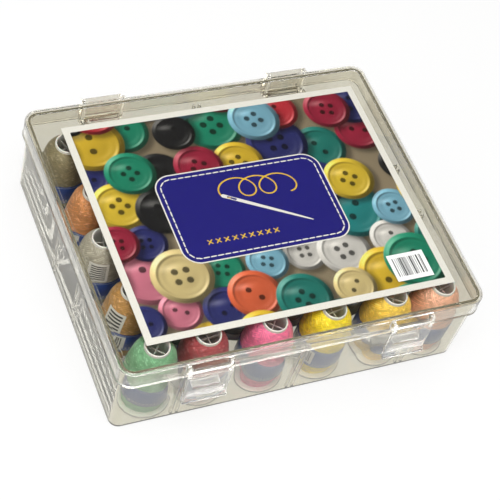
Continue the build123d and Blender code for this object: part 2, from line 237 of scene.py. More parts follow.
@dataclass(frozen=True)
class WoundThread:
    """Shiny embroidery thread, cross wound.

    The map's u goes once round the package and v from its foot to its shoulder. One family of
    bundles rises with u and the other falls, both at the same pitch, so they part the surface
    into diamonds. A draw for each patch of diamonds says which family lies on top in it, and
    each bundle is a few strands wide.
    """

    name: str
    colour: Colour
    bundles_up: float = 34.0
    bundles_round: float = 38.0
    strands_per_bundle: float = 2.0
    patch_bundles: float = 2.0
    wander: float = 1.2
    groove_shade: float = 0.28
    crest_shade: float = 1.46
    # The next three numbers set a painted highlight: which share of crests glints, how much brighter, and how
    # far toward white.
    glint_share: float = 0.78
    glint_gain: float = 0.45
    glint_white: float = 0.12

    def material(self) -> bpy.types.Material:
        """Returns the finished material."""
        bench = Bench(self.name)
        chart = bench.add("SeparateXYZ", {"Vector": bench.add("UVMap", uv_map="winding").outputs[0]})
        place = bench.add("TexCoord").outputs["Object"]
        drift = bench.add("TexNoise", {"Vector": place, "Scale": 70.0, "Detail": 2.0})
        sway = bench.maths("MULTIPLY", bench.maths("SUBTRACT", drift.outputs["Fac"], 0.5), self.wander)
        rise = bench.maths("MULTIPLY", chart.outputs["X"], self.bundles_round)
        level = bench.maths("MULTIPLY_ADD", chart.outputs["Y"], self.bundles_up, sway)
        rising = bench.maths("ADD", level, rise)
        falling = bench.maths("SUBTRACT", level, rise)
        chance = self.cell_draw(bench, rising, falling, 1.0)
        on_top = bench.step(self.cell_draw(bench, rising, falling, 1 / self.patch_bundles), 0.47, 0.53)
        crests = [self.crest(bench, phase) for phase in (rising, falling)]
        shades = [self.shade(bench, phase) for phase in (rising, falling)]
        height = bench.number(on_top, crests[0], crests[1])
        shade = bench.number(on_top, shades[0], shades[1])
        cloud = bench.add("TexNoise", {"Vector": place, "Scale": 240.0, "Detail": 3.0})
        # Painted shade and highlight: the grooves between bundles are darkened and the crests lightened.
        gain = self.crest_shade - self.groove_shade
        light = bench.maths("MULTIPLY_ADD", height, gain, self.groove_shade)
        light = bench.maths("MULTIPLY", light, bench.maths("MULTIPLY_ADD", shade, 0.40, 0.82))
        light = bench.maths("MULTIPLY", light, bench.maths("MULTIPLY_ADD", cloud.outputs["Fac"], 0.26, 0.89))
        # Painted highlight: on some crests the thread is made brighter and whiter, glints that stand in for
        # its sheen.
        glint = bench.maths("MULTIPLY", bench.step(chance, self.glint_share, 1.0), height)
        light = bench.maths("MULTIPLY", light, bench.maths("MULTIPLY_ADD", glint, self.glint_gain, 1.0))
        tone = bench.add("HueSaturation", {"Color": self.colour, "Value": light})
        shine = bench.maths("MULTIPLY", glint, self.glint_white)
        colour = bench.blend(shine, tone.outputs["Color"], (1.0, 1.0, 1.0))
        bump = bench.add("Bump", {"Strength": 0.7, "Distance": 0.0004, "Height": height})
        cloth = bench.add(
            "BsdfPrincipled",
            {
                "Base Color": colour,
                "Roughness": 0.46,
                "Specular IOR Level": 0.5,
                "Sheen Weight": 0.15,
                "Sheen Roughness": 0.4,
                "Normal": bump.outputs["Normal"],
            },
        )
        return bench.finish(cloth.outputs[0])

    def cell_draw(
        self, bench: Bench, rising: bpy.types.NodeSocket, falling: bpy.types.NodeSocket, scale: float
    ) -> bpy.types.NodeSocket:
        """A draw for each diamond between the families, taken 1/scale bundles to a side."""
        sides = [bench.maths("FLOOR", bench.maths("MULTIPLY", side, scale)) for side in (rising, falling)]
        cell = bench.add("CombineXYZ", {0: sides[0], 1: sides[1]})
        return bench.add("TexWhiteNoise", {"Vector": cell.outputs[0]}, noise_dimensions="2D").outputs["Value"]

    def crest(self, bench: Bench, phase: bpy.types.NodeSocket) -> bpy.types.NodeSocket:
        """How high a family stands, from 0 in its grooves to 1: bundles with finer strands."""
        bundle = self.arch(bench, phase)
        strand = self.arch(bench, bench.maths("MULTIPLY", phase, self.strands_per_bundle))
        low = bench.maths("MULTIPLY", bundle, 0.6)
        return bench.maths("MULTIPLY_ADD", strand, 0.4, low)

    def arch(self, bench: Bench, phase: bpy.types.NodeSocket) -> bpy.types.NodeSocket:
        """The root of |sin| of the phase: round crests with sharp grooves between them."""
        wave = bench.maths("SINE", bench.maths("MULTIPLY", phase, math.pi))
        return bench.maths("SQRT", bench.maths("ABSOLUTE", wave))

    def shade(self, bench: Bench, phase: bpy.types.NodeSocket) -> bpy.types.NodeSocket:
        """A shade drawn for each bundle of a family."""
        number = bench.maths("FLOOR", phase)
        return bench.add("TexWhiteNoise", {"W": number}, noise_dimensions="1D").outputs["Value"]


@dataclass(frozen=True)
class MilkyPlastic:
    """Translucent white cores, with painted shade and the thread's light through the wall painted into the
    bore.
    """

    name: str
    white: Colour = (0.87, 0.87, 0.85)
    bore_shade_grey: Colour = (0.82, 0.80, 0.76)
    rim_shade_grey: Colour = (0.13, 0.125, 0.115)

    def material(self) -> bpy.types.Material:
        """Returns the finished material."""
        bench = Bench(self.name)
        tint = bench.add("Attribute", attribute_name="thread_tint").outputs["Color"]
        depth = bench.add("Attribute", attribute_name="bore_depth").outputs["Fac"]
        # Painted light and shade: deeper in the bore the white gives way to a darker grey mixed with the
        # thread's colour.
        inside = bench.blend(0.50, self.bore_shade_grey, tint)
        share = bench.maths("MULTIPLY", bench.step(depth, 0.02, 0.12), 0.58)
        colour = bench.blend(share, self.white, inside)
        # Painted shade: a dark outline where rim_shade is set, on the flange's edge and over the web.
        rim = bench.add("Attribute", attribute_name="rim_shade").outputs["Fac"]
        colour = bench.blend(rim, colour, self.rim_shade_grey)
        place = bench.add("TexCoord").outputs["Object"]
        grain = bench.add("TexNoise", {"Vector": place, "Scale": 420.0, "Detail": 2.0})
        bump = bench.add("Bump", {"Strength": 0.2, "Distance": 0.0002, "Height": grain.outputs["Fac"]})
        cast = bench.add(
            "BsdfPrincipled",
            {
                "Base Color": colour,
                "Roughness": 0.34,
                "IOR": 1.5,
                "Subsurface Weight": 0.12,
                "Subsurface Scale": 0.002,
                "Normal": bump.outputs["Normal"],
            },
        )
        return bench.finish(cast.outputs[0])


@dataclass(frozen=True)
class BandPaper:
    """Coated navy paper with thin pale edge lines and a white panel of plain bars.

    The map's u goes once round the band, with the panel at its middle, and v goes up.
    """

    name: str
    navy: Colour = (0.022, 0.066, 0.30)
    line: Colour = (0.42, 0.47, 0.55)
    white: Colour = (0.78, 0.78, 0.76)
    black: Colour = (0.02, 0.02, 0.02)
    panel_half_width: float = 0.10
    bar_count: float = 300.0

    def material(self) -> bpy.types.Material:
        """Returns the finished material."""
        bench = Bench(self.name)
        chart = bench.add("SeparateXYZ", {"Vector": bench.add("UVMap", uv_map="printing").outputs[0]})
        around, up = chart.outputs["X"], chart.outputs["Y"]
        from_panel = bench.maths("ABSOLUTE", bench.maths("SUBTRACT", around, 0.5))
        from_middle = bench.maths("ABSOLUTE", bench.maths("SUBTRACT", up, 0.5))
        on_line = bench.maths("ABSOLUTE", bench.maths("SUBTRACT", from_middle, 0.43))
        lines = bench.maths("SUBTRACT", 1.0, bench.step(on_line, 0.008, 0.016))
        weave = bench.maths("SINE", bench.maths("MULTIPLY", around, 2 * math.pi * 44))
        dots = bench.step(weave, 0.0, 0.5)
        row = bench.maths("ABSOLUTE", bench.maths("SUBTRACT", up, 0.16))
        dotted = bench.maths("MULTIPLY", dots, bench.maths("SUBTRACT", 1.0, bench.step(row, 0.03, 0.05)))
        colour = bench.blend(bench.maths("MAXIMUM", lines, dotted), self.navy, self.line)
        in_width = bench.maths(
            "SUBTRACT", 1.0, bench.step(from_panel, self.panel_half_width, self.panel_half_width + 0.003)
        )
        in_height = bench.maths("SUBTRACT", 1.0, bench.step(from_middle, 0.36, 0.375))
        panel = bench.maths("MULTIPLY", in_width, in_height)
        colour = bench.blend(panel, colour, self.white)
        number = bench.maths("FLOOR", bench.maths("MULTIPLY", around, self.bar_count))
        draw = bench.add("TexWhiteNoise", {"W": number}, noise_dimensions="1D").outputs["Value"]
        bars = bench.maths("GREATER_THAN", draw, 0.48)
        inner = bench.maths("LESS_THAN", from_panel, self.panel_half_width - 0.022)
        level = bench.maths("LESS_THAN", from_middle, 0.28)
        shown = bench.maths("MULTIPLY", bars, bench.maths("MULTIPLY", inner, level))
        colour = bench.blend(shown, colour, self.black)
        place = bench.add("TexCoord").outputs["Object"]
        fibre = bench.add("TexNoise", {"Vector": place, "Scale": 900.0, "Detail": 3.0})
        bump = bench.add("Bump", {"Strength": 0.15, "Distance": 0.0001, "Height": fibre.outputs["Fac"]})
        paper = bench.add(
            "BsdfPrincipled",
            {
                "Base Color": colour,
                "Roughness": 0.38,
                "Coat Weight": 0.3,
                "Coat Roughness": 0.2,
                "Normal": bump.outputs["Normal"],
            },
        )
        return bench.finish(paper.outputs[0])


@dataclass(frozen=True)
class CardPrint:
    """Glossy printed card: a picture held in a colour attribute under flat inks with crisp edges.

    The attributes panel_edge, white_ink and yellow_ink hold distances in millimetres to the edge
    of each ink, below zero where the ink lies.
    """

    name: str
    blue: Colour = (0.011, 0.009, 0.20)
    white: Colour = (0.86, 0.86, 0.84)
    yellow: Colour = (0.80, 0.52, 0.04)
    softness: float = 0.10

    def material(self) -> bpy.types.Material:
        """Returns the finished material."""
        bench = Bench(self.name)
        colour = bench.add("Attribute", attribute_name="picture").outputs["Color"]
        for edge, ink in (
            ("panel_edge", self.blue),
            ("yellow_ink", self.yellow),
            ("white_ink", self.white),
        ):
            distance = bench.add("Attribute", attribute_name=edge).outputs["Fac"]
            bare = bench.step(distance, -self.softness, self.softness)
            colour = bench.blend(bench.maths("SUBTRACT", 1.0, bare), colour, ink)
        place = bench.add("TexCoord").outputs["Object"]
        fibre = bench.add("TexNoise", {"Vector": place, "Scale": 700.0, "Detail": 3.0})
        bump = bench.add("Bump", {"Strength": 0.12, "Distance": 0.0001, "Height": fibre.outputs["Fac"]})
        print_on_card = bench.add(
            "BsdfPrincipled",
            {
                "Base Color": colour,
                "Roughness": 0.32,
                "Coat Weight": 0.25,
                "Coat Roughness": 0.12,
                "Normal": bump.outputs["Normal"],
            },
        )
        return bench.finish(print_on_card.outputs[0])


@dataclass(frozen=True)
class PlainPaper:
    """Uncoated white paper with a fibre texture."""

    name: str
    colour: Colour = (0.70, 0.69, 0.66)

    def material(self) -> bpy.types.Material:
        """Returns the finished material."""
        bench = Bench(self.name)
        place = bench.add("TexCoord").outputs["Object"]
        fibre = bench.add("TexNoise", {"Vector": place, "Scale": 800.0, "Detail": 4.0})
        shade = bench.maths("MULTIPLY_ADD", fibre.outputs["Fac"], 0.10, 0.95)
        tone = bench.add("HueSaturation", {"Color": self.colour})
        bench.feed(tone.inputs["Value"], shade)
        bump = bench.add("Bump", {"Strength": 0.2, "Distance": 0.0001, "Height": fibre.outputs["Fac"]})
        paper = bench.add(
            "BsdfPrincipled",
            {
                "Base Color": tone.outputs["Color"],
                "Roughness": 0.7,
                "Specular IOR Level": 0.1,
                "Normal": bump.outputs["Normal"],
            },
        )
        return bench.finish(paper.outputs[0])


@dataclass(frozen=True)
class BarInk:
    """White sticker paper with plain black bars, read from a corner colour attribute."""

    name: str
    paper: Colour = (0.82, 0.82, 0.80)
    ink: Colour = (0.015, 0.015, 0.015)

    def colour_cells(self, mesh: bpy.types.Mesh, cells: np.ndarray) -> None:
        """Inks some of a mesh's four-sided faces, and leaves the rest as paper.

        Args:
            mesh: The mesh, whose first faces all have four corners.
            cells: The numbers of the faces to ink.
        """
        colours = np.tile(np.array([*self.paper, 1.0]), (len(mesh.loops), 1))
        colours[(cells[:, None] * 4 + np.arange(4)).ravel()] = (*self.ink, 1.0)
        layer = mesh.attributes.new("bars", "FLOAT_COLOR", "CORNER")
        layer.data.foreach_set("color", colours.astype(np.float32).ravel())

    def material(self) -> bpy.types.Material:
        """Returns the finished material."""
        bench = Bench(self.name)
        colour = bench.add("Attribute", attribute_name="bars").outputs["Color"]
        place = bench.add("TexCoord").outputs["Object"]
        fibre = bench.add("TexNoise", {"Vector": place, "Scale": 900.0, "Detail": 3.0})
        bump = bench.add("Bump", {"Strength": 0.12, "Distance": 0.0001, "Height": fibre.outputs["Fac"]})
        paper = bench.add(
            "BsdfPrincipled",
            {"Base Color": colour, "Roughness": 0.45, "Normal": bump.outputs["Normal"]},
        )
        return bench.finish(paper.outputs[0])


@dataclass(frozen=True)
class DrawnSteel:
    """Bright drawn wire of the pins, with fine scratches along its length."""

    name: str
    colour: Colour = (0.62, 0.61, 0.59)

    def material(self) -> bpy.types.Material:
        """Returns the finished material."""
        bench = Bench(self.name)
        place = bench.add("TexCoord").outputs["Object"]
        along = bench.add("Mapping", {"Vector": place, "Scale": (40.0, 2600.0, 2600.0)})
        scratch = bench.add("TexNoise", {"Vector": along.outputs[0], "Scale": 1.0, "Detail": 3.0})
        rough = bench.maths("MULTIPLY_ADD", scratch.outputs["Fac"], 0.22, 0.16)
        bump = bench.add("Bump", {"Strength": 0.2, "Distance": 0.0001, "Height": scratch.outputs["Fac"]})
        steel = bench.add(
            "BsdfPrincipled",
            {
                "Base Color": self.colour,
                "Metallic": 1.0,
                "Roughness": rough,
                "Normal": bump.outputs["Normal"],
            },
        )
        return bench.finish(steel.outputs[0])


# ---------------------------------------------------------------------------- numpy surfaces
@dataclass
class Shape:
    """Points and faces that are gathered from several surfaces and become one mesh."""

    points: list[np.ndarray] = field(default_factory=list)
    corners: list[np.ndarray] = field(default_factory=list)
    totals: list[np.ndarray] = field(default_factory=list)
    materials: list[np.ndarray] = field(default_factory=list)
    maps: list[np.ndarray] = field(default_factory=list)
    values: dict[str, list[np.ndarray]] = field(default_factory=dict)
    count: int = 0
    sharp_angle: float = math.radians(50)

    def add_grid(
        self,
        points: np.ndarray,
        chart: np.ndarray | None = None,
        round_rows: bool = False,
        round_columns: bool = False,
        material: int = 0,
        **values: np.ndarray,
    ) -> None:
        """Adds a grid of points as quads.

        The quad at row r and column c joins (r, c), (r, c+1), (r+1, c+1) and (r+1, c), so its
        front is where columns run to the right while rows run up.

        Args:
            points: The grid's points, as rows by columns by 3.
            chart: Map coordinates of (rows + 1) by (columns + 1) by 2 for a grid that closes on
                itself, or of rows by columns by 2 for one that doesn't.
            round_rows: The last row joins the first.
            round_columns: The last column joins the first.
            material: The number of the material slot.
            **values: One number or colour for each point, by attribute name.
        """
        rows, columns = points.shape[:2]
        row = np.arange(rows if round_rows else rows - 1)[:, None]
        column = np.arange(columns if round_columns else columns - 1)[None, :]
        next_row, next_column = (row + 1) % rows, (column + 1) % columns
        quads = np.stack(
            np.broadcast_arrays(
                row * columns + column,
                row * columns + next_column,
                next_row * columns + next_column,
                next_row * columns + column,
            ),
            axis=-1,
        ).reshape(-1, 4)
        self.corners.append((quads + self.count).ravel())
        self.totals.append(np.full(len(quads), 4))
        self.materials.append(np.full(len(quads), material))
        if chart is None:
            self.maps.append(np.zeros((quads.size, 2)))
        else:
            corner_map = np.stack(
                [
                    chart[row, column],
                    chart[row, column + 1],
                    chart[row + 1, column + 1],
                    chart[row + 1, column],
                ],
                axis=2,
            )
            self.maps.append(corner_map.reshape(-1, 2))
        self.add_points(points.reshape(-1, 3), values)

    def add_cap(self, rim: np.ndarray, material: int = 0) -> None:
        """Adds one flat face over a rim of points that are already in the shape.

        Args:
            rim: Numbers of the points, counterclockwise as seen from outside.
            material: The number of the material slot.
        """
        self.corners.append(np.asarray(rim))
        self.totals.append(np.array([len(rim)]))
        self.materials.append(np.array([material]))
        self.maps.append(np.zeros((len(rim), 2)))

    def add_points(self, points: np.ndarray, values: dict[str, np.ndarray]) -> None:
        """Keeps points with their attribute values."""
        self.points.append(points)
        self.count += len(points)
        for name, value in values.items():
            self.values.setdefault(name, []).append(value)

    def build(self, name: str, chart_name: str | None = None) -> bpy.types.Object:
        """Makes the Blender object.

        Args:
            name: The object's name.
            chart_name: The name of its UV map, if it has one.

        Returns:
            The linked object.
        """
        points = np.concatenate(self.points)
        corners = np.concatenate(self.corners)
        totals = np.concatenate(self.totals)
        mesh = bpy.data.meshes.new(name)
        mesh.vertices.add(len(points))
        mesh.vertices.foreach_set("co", points.astype(np.float32).ravel())
        mesh.loops.add(len(corners))
        mesh.loops.foreach_set("vertex_index", corners.astype(np.int32))
        mesh.polygons.add(len(totals))
        starts = np.concatenate([[0], np.cumsum(totals)[:-1]])
        mesh.polygons.foreach_set("loop_start", starts.astype(np.int32))
        mesh.polygons.foreach_set("material_index", np.concatenate(self.materials).astype(np.int32))
        if chart_name:
            chart = mesh.uv_layers.new(name=chart_name)
            chart.data.foreach_set("uv", np.concatenate(self.maps).astype(np.float32).ravel())
        for key, value in self.values.items():
            whole = np.concatenate(value)
            kind = "FLOAT_COLOR" if whole.ndim == 2 else "FLOAT"
            layer = mesh.attributes.new(key, kind, "POINT")
            if whole.ndim == 2:
                whole = np.column_stack([whole, np.ones(len(whole))])
                layer.data.foreach_set("color", whole.astype(np.float32).ravel())
            else:
                layer.data.foreach_set("value", whole.astype(np.float32))
        mesh.update(calc_edges=True)
        mesh.validate()
        mesh.shade_smooth()
        mesh.set_sharp_from_angle(angle=self.sharp_angle)
        piece = bpy.data.objects.new(name, mesh)
        bpy.context.scene.collection.objects.link(piece)
        return piece


def arc(centre: tuple[float, float], radius: float, start: float, stop: float, steps: int) -> np.ndarray:
    """Points on a circle from one angle in degrees to another, both ends included."""
    angle = np.radians(np.linspace(start, stop, steps + 1))
    return np.column_stack([centre[0] + radius * np.cos(angle), centre[1] + radius * np.sin(angle)])


def evenly_spaced(line: np.ndarray, count: int) -> np.ndarray:
    """Points at even distances along a line of straight runs."""
    length = np.concatenate([[0], np.cumsum(np.linalg.norm(np.diff(line, axis=0), axis=1))])
    at = np.linspace(0, length[-1], count)
    return np.column_stack([np.interp(at, length, line[:, axis]) for axis in range(line.shape[1])])


def softened(line: np.ndarray, reach: int) -> np.ndarray:
    """A line with its corners rounded: each inner point is the mean of its neighbours in reach."""
    padded = np.concatenate([np.repeat(line[:1], reach, 0), line, np.repeat(line[-1:], reach, 0)])
    kernel = np.ones(2 * reach + 1) / (2 * reach + 1)
    smooth = np.column_stack([np.convolve(padded[:, axis], kernel, "valid") for axis in range(2)])
    smooth[0], smooth[-1] = line[0], line[-1]
    return smooth


def revolved(profile: np.ndarray, segments: int) -> np.ndarray:
    """A profile of radius and height turned about Z.

    At profile point i and angle a the surface is at (radius cos a, radius sin a, height).

    Args:
        profile: Points of radius and height, as n by 2.
        segments: Steps round the circle.

    Returns:
        A grid of n by segments by 3 that closes on itself round its columns.
    """
    angle = np.arange(segments) * 2 * math.pi / segments
    radius, height = profile[:, :1], profile[:, 1:]
    return np.stack(
        np.broadcast_arrays(radius * np.cos(angle), radius * np.sin(angle), height), axis=-1
    )


def chart_of(rows: int, columns: int) -> np.ndarray:
    """Map coordinates of a grid: u from 0 to 1 over the columns and v over the rows."""
    u, v = np.meshgrid(np.linspace(0, 1, columns), np.linspace(0, 1, rows))
    return np.stack([u, v], axis=-1)


# ---------------------------------------------------------------------------- pieces in general
@dataclass(frozen=True)
class Frame:
    """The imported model, with the calls that bind a new piece to it."""

    bodies: dict
    nodes: dict
    record: dict

    @classmethod
    def loaded(cls) -> Frame:
        """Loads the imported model."""
        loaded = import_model()
        return cls(loaded["bodies"], loaded["nodes"], loaded["record"])

    def colour_of(self, slot: str) -> Colour:
        """The base colour of one of the record's material slots."""
        for entry in self.record["materials"]:
            if entry["slot"] == slot:
                return tuple(entry["base_color"][:3])
        raise KeyError(slot)

    def seat(
        self, piece: bpy.types.Object, body: Body, replaced: str | None = None
    ) -> bpy.types.Object:
        """Attaches a piece to its body and hides the node it stands for.

        Args:
            piece: The new object.
            body: The body it moves with.
            replaced: The node it stands for, if any.

        Returns:
            The same object.
        """
        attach(piece, body.value)
        if replaced:
            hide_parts(replaced)
        LOG.info("%s rides on %s", piece.name, body.value)
        return piece


@dataclass
class Moulding:
    """A moulded piece: a merged copy of its node, with edges softened as a mould leaves them."""

    node: str
    name: str
    body: Body
    slot: str
    edge_radius: float = 0.3 * MILLIMETRE
    merge_distance: float = 0.002 * MILLIMETRE
    flat_angle: float = math.radians(0.3)
    sharp_angle: float = math.radians(30)

    def build(self, frame: Frame, material: bpy.types.Material) -> bpy.types.Object:
        """Makes the piece.

        Args:
            frame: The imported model.
            material: The piece's material.

        Returns:
            The seated piece.
        """
        shape = bmesh.new()
        shape.from_mesh(frame.nodes[self.node].data)
        bmesh.ops.remove_doubles(shape, verts=shape.verts, dist=self.merge_distance)
        bmesh.ops.dissolve_limit(
            shape, angle_limit=self.flat_angle, verts=shape.verts, edges=shape.edges
        )
        mesh = bpy.data.meshes.new(self.name)
        shape.to_mesh(mesh)
        shape.free()
        mesh.materials.clear()
        mesh.materials.append(material)
        mesh.shade_smooth()
        mesh.set_sharp_from_angle(angle=self.sharp_angle)
        piece = bpy.data.objects.new(self.name, mesh)
        bpy.context.scene.collection.objects.link(piece)
        edges = piece.modifiers.new("softened_edges", "BEVEL")
        edges.width = self.edge_radius
        edges.segments = 2
        edges.limit_method = "ANGLE"
        edges.angle_limit = self.sharp_angle
        edges.harden_normals = True
        edges.use_clamp_overlap = False
        return frame.seat(piece, self.body, self.node)


# ---------------------------------------------------------------------------- cones
@dataclass(frozen=True)
class Stand:
    """Where one cone stands: the middle of its base, and its own axes as the rows of a matrix."""

    foot: np.ndarray
    axes: np.ndarray

    @classmethod
    def under(cls, node: bpy.types.Object, foot_gap: float) -> Stand:
        """Works out a cone's place from the thread wound on it.

        The sum of area times (sum of v v' over the corners plus s s', where s is their sum) over
        12 is a triangle's second moment, so the package's own axis is its longest direction.

        Args:
            node: The thread's node.
            foot_gap: How far above the cone's base the thread begins.

        Returns:
            The cone's stand.
        """
        mesh = node.data
        mesh.calc_loop_triangles()
        points = np.empty(len(mesh.vertices) * 3, np.float32)
        mesh.vertices.foreach_get("co", points)
        corners = np.empty(len(mesh.loop_triangles) * 3, np.int32)
        mesh.loop_triangles.foreach_get("vertices", corners)
        triangles = points.reshape(-1, 3).astype(float)[corners].reshape(-1, 3, 3)
        edges = triangles[:, 1:] - triangles[:, :1]
        area = np.linalg.norm(np.cross(edges[:, 0], edges[:, 1]), axis=1) / 2
        centre = np.average(triangles.mean(1), axis=0, weights=area)
        around = triangles - centre
        total = around.sum(1)
        moment = np.einsum("t,tki,tkj->ij", area, around, around)
        moment += np.einsum("t,ti,tj->ij", area, total, total)
        up = np.linalg.eigh(moment)[1][:, -1]
        up *= np.sign(up[2])
        side = np.cross((0.0, 1.0, 0.0), up)
        side /= np.linalg.norm(side)
        lowest = (around.reshape(-1, 3) @ up).min()
        foot = centre + up * (lowest - foot_gap)
        return cls(foot, np.array([side, np.cross(up, side), up]))

    def place(self, points: np.ndarray, turn: float = 0.0) -> np.ndarray:
        """Moves upright points onto the stand, turned about the cone's own axis first."""
        cosine, sine = math.cos(turn), math.sin(turn)
        spin = np.array([[cosine, sine, 0.0], [-sine, cosine, 0.0], [0.0, 0.0, 1.0]])
        return points @ spin @ self.axes + self.foot


@dataclass(frozen=True)
class ThreadPackage:
    """The thread wound on one cone: straight flanks, a waist and a domed shoulder."""

    foot_height: float = 1.65 * MILLIMETRE
    foot_radius: float = 16.5 * MILLIMETRE
    waist_radius: float = 19.5 * MILLIMETRE
    waist_low: float = 13.0 * MILLIMETRE
    waist_high: float = 40.0 * MILLIMETRE
    shoulder_radius: float = 17.4 * MILLIMETRE
    shoulder_height: float = 54.0 * MILLIMETRE
    top_radius: float = 10.05 * MILLIMETRE
    top_height: float = 66.1 * MILLIMETRE
    inner_foot_radius: float = 15.05 * MILLIMETRE
    ridge_depth: float = 0.16 * MILLIMETRE
    ridges_up: int = 11
    ridges_round: int = 12
    segments: int = 132
    steps: int = 92

    def outline(self) -> np.ndarray:
        """The outer side from the foot to the ring: straight runs, then an arc that leaves the
        last run without a corner and ends at the ring, with every corner softened."""
        shoulder = np.array([self.shoulder_radius, self.shoulder_height])
        top = np.array([self.top_radius, self.top_height])
        run = shoulder - np.array([self.waist_radius, self.waist_high])
        run /= np.linalg.norm(run)
        inward = np.array([-run[1], run[0]])
        chord = top - shoulder
        radius = chord @ chord / (2 * chord @ inward)
        centre = shoulder + inward * radius
        start = math.degrees(math.atan2(*(shoulder - centre)[::-1]))
        stop = math.degrees(math.atan2(*(top - centre)[::-1]))
        dome = arc(tuple(centre), abs(radius), start, stop, 24)
        side = np.array(
            [
                (self.foot_radius, self.foot_height),
                (self.waist_radius, self.waist_low),
                (self.waist_radius, self.waist_high),
            ]
        )
        return softened(evenly_spaced(np.vstack([side, dome]), self.steps), 3)

    def grid(self) -> np.ndarray:
        """The outer side of the package, upright at the origin.

        The outer side sinks by the ridge depth between crossing bundles: the depth times the
        lesser of |cos| of two phases, the height phase plus and minus the turning phase.
        """
        outer = self.outline()
        surface = revolved(outer, self.segments)
        up = np.linspace(0, 1, self.steps)[:, None]
        around = np.arange(self.segments)[None, :] / self.segments
        level, rise = math.pi * self.ridges_up * up, math.pi * self.ridges_round * around
        groove = np.minimum(np.abs(np.cos(level + rise)), np.abs(np.cos(level - rise)))
        groove[[0, -1]] = 0
        radius = np.linalg.norm(surface[..., :2], axis=-1)
        surface[..., :2] *= ((radius - self.ridge_depth * groove) / radius)[..., None]
        return surface

    def add_to(self, shape: Shape, stand: Stand, turn: float) -> None:
        """Adds the package to a shape: up its outer side, down against the core, and closed."""
        inner_foot = revolved(np.array([(self.inner_foot_radius, self.foot_height)]), self.segments)
        surface = np.concatenate([self.grid(), inner_foot])
        chart = chart_of(self.steps, self.segments + 1)
        shape.add_grid(
            stand.place(surface, turn),
            np.concatenate([chart, chart[:1], chart[:1]]),
            round_rows=True,
            round_columns=True,
        )


@dataclass(frozen=True)
class ConeCore:
    """The hollow moulded cone: base flange, conical wall, rounded ring and a cross web."""

    height: float = 68.5 * MILLIMETRE
    flange_radius: float = 21.5 * MILLIMETRE
    flange_thickness: float = 1.6 * MILLIMETRE
    foot_radius: float = 15.0 * MILLIMETRE
    ring_radius: float = 9.8 * MILLIMETRE
    wall: float = 1.7 * MILLIMETRE
    crown_wall: float = 1.3 * MILLIMETRE
    rounding: float = 0.7 * MILLIMETRE
    web_below_ring: float = 6.0 * MILLIMETRE
    web_depth: float = 2.5 * MILLIMETRE
    web_thickness: float = 1.0 * MILLIMETRE
    web_blades: int = 4
    web_depth_shade: float = 0.2
    segments: int = 72

    def outline(self) -> np.ndarray:
        """The wall's closed profile, outside first: flange, cone, ring, then down the bore."""
        edge = self.flange_thickness / 2
        inner_ring, inner_foot = self.ring_radius - self.crown_wall, self.foot_radius - self.wall
        ring_centre = (self.ring_radius + inner_ring) / 2
        half_crown = self.crown_wall / 2
        crown = arc((ring_centre, self.height - half_crown), half_crown, 0, 180, 10)
        rim = arc((self.flange_radius - edge, edge), edge, -90, 90, 6)
        root = arc(
            (self.foot_radius + self.rounding, self.flange_thickness + self.rounding),
            self.rounding,
            270,
            180,
            4,
        )
        bore = np.column_stack(
            [
                np.linspace(inner_ring, inner_foot, 12)[1:],
                np.linspace(self.height - half_crown, 0, 12)[1:],
            ]
        )
        return np.vstack([rim, root, crown, bore])

    def web_blade(self) -> np.ndarray:
        """One blade of the web from the axis to the bore: a rounded oblong carried along X.

        Its section has half axes of half the thickness and half the depth, squared off by
        raising each sine and cosine to the power of one half.
        """
        angle = np.arange(16) * 2 * math.pi / 16
        across = np.sign(np.cos(angle)) * np.abs(np.cos(angle)) ** 0.5 * self.web_thickness / 2
        upward = np.sign(np.sin(angle)) * np.abs(np.sin(angle)) ** 0.5 * self.web_depth / 2
        level = self.height - self.web_below_ring - self.web_depth / 2
        slope = (self.foot_radius - self.ring_radius) / (self.height - self.flange_thickness)
        reach = self.ring_radius + slope * self.web_below_ring - self.wall / 2
        along = np.array([0.0, reach])[:, None]
        return np.stack(np.broadcast_arrays(along, across, level + upward), axis=-1)

    def add_to(self, shape: Shape, stand: Stand, tint: Colour, turn: float) -> None:
        """Adds the core to a shape.

        Args:
            shape: The shape of the whole row.
            stand: Where the cone stands.
            tint: The colour of the thread round it, painted into the bore as light through the wall.
            turn: How far the core is turned about its axis.
        """
        outline = self.outline()
        wall = revolved(outline, self.segments)
        # Points down the bore get their depth, which sets how much painted shade and thread light the finish
        # puts there.
        bore_start = np.argmax(outline[:, 1])
        below = np.clip((self.height - outline[:, 1]) / self.height, 0, 1)
        in_bore = np.where(np.arange(len(outline)) > bore_start, below, 0.0)
        depth = np.repeat(in_bore, self.segments)
        # Painted shade: the flange's outer edge gets a dark outline, standing in for the dark rim of a
        # translucent disc.
        at_rim = outline[:, 0] > self.flange_radius - self.flange_thickness / 3
        shape.add_grid(
            stand.place(wall, turn),
            None,
            round_rows=True,
            round_columns=True,
            bore_depth=depth,
            rim_shade=np.repeat(np.where(at_rim, 0.8, 0.0), self.segments),
            thread_tint=np.tile(tint, (len(depth), 1)),
        )
        blade = self.web_blade()
        count = blade.shape[1]
        for number in range(self.web_blades):
            angle = turn + number * 2 * math.pi / self.web_blades
            first = shape.count
            # Painted shade: the web deep in the bore is darkened and takes the painted bore colour.
            shape.add_grid(
                stand.place(blade, angle),
                None,
                round_columns=True,
                bore_depth=np.full(2 * count, self.web_depth_shade),
                rim_shade=np.full(2 * count, 0.45),
                thread_tint=np.tile(tint, (2 * count, 1)),
            )
            shape.add_cap(first + np.arange(count)[::-1])
            shape.add_cap(first + count + np.arange(count))


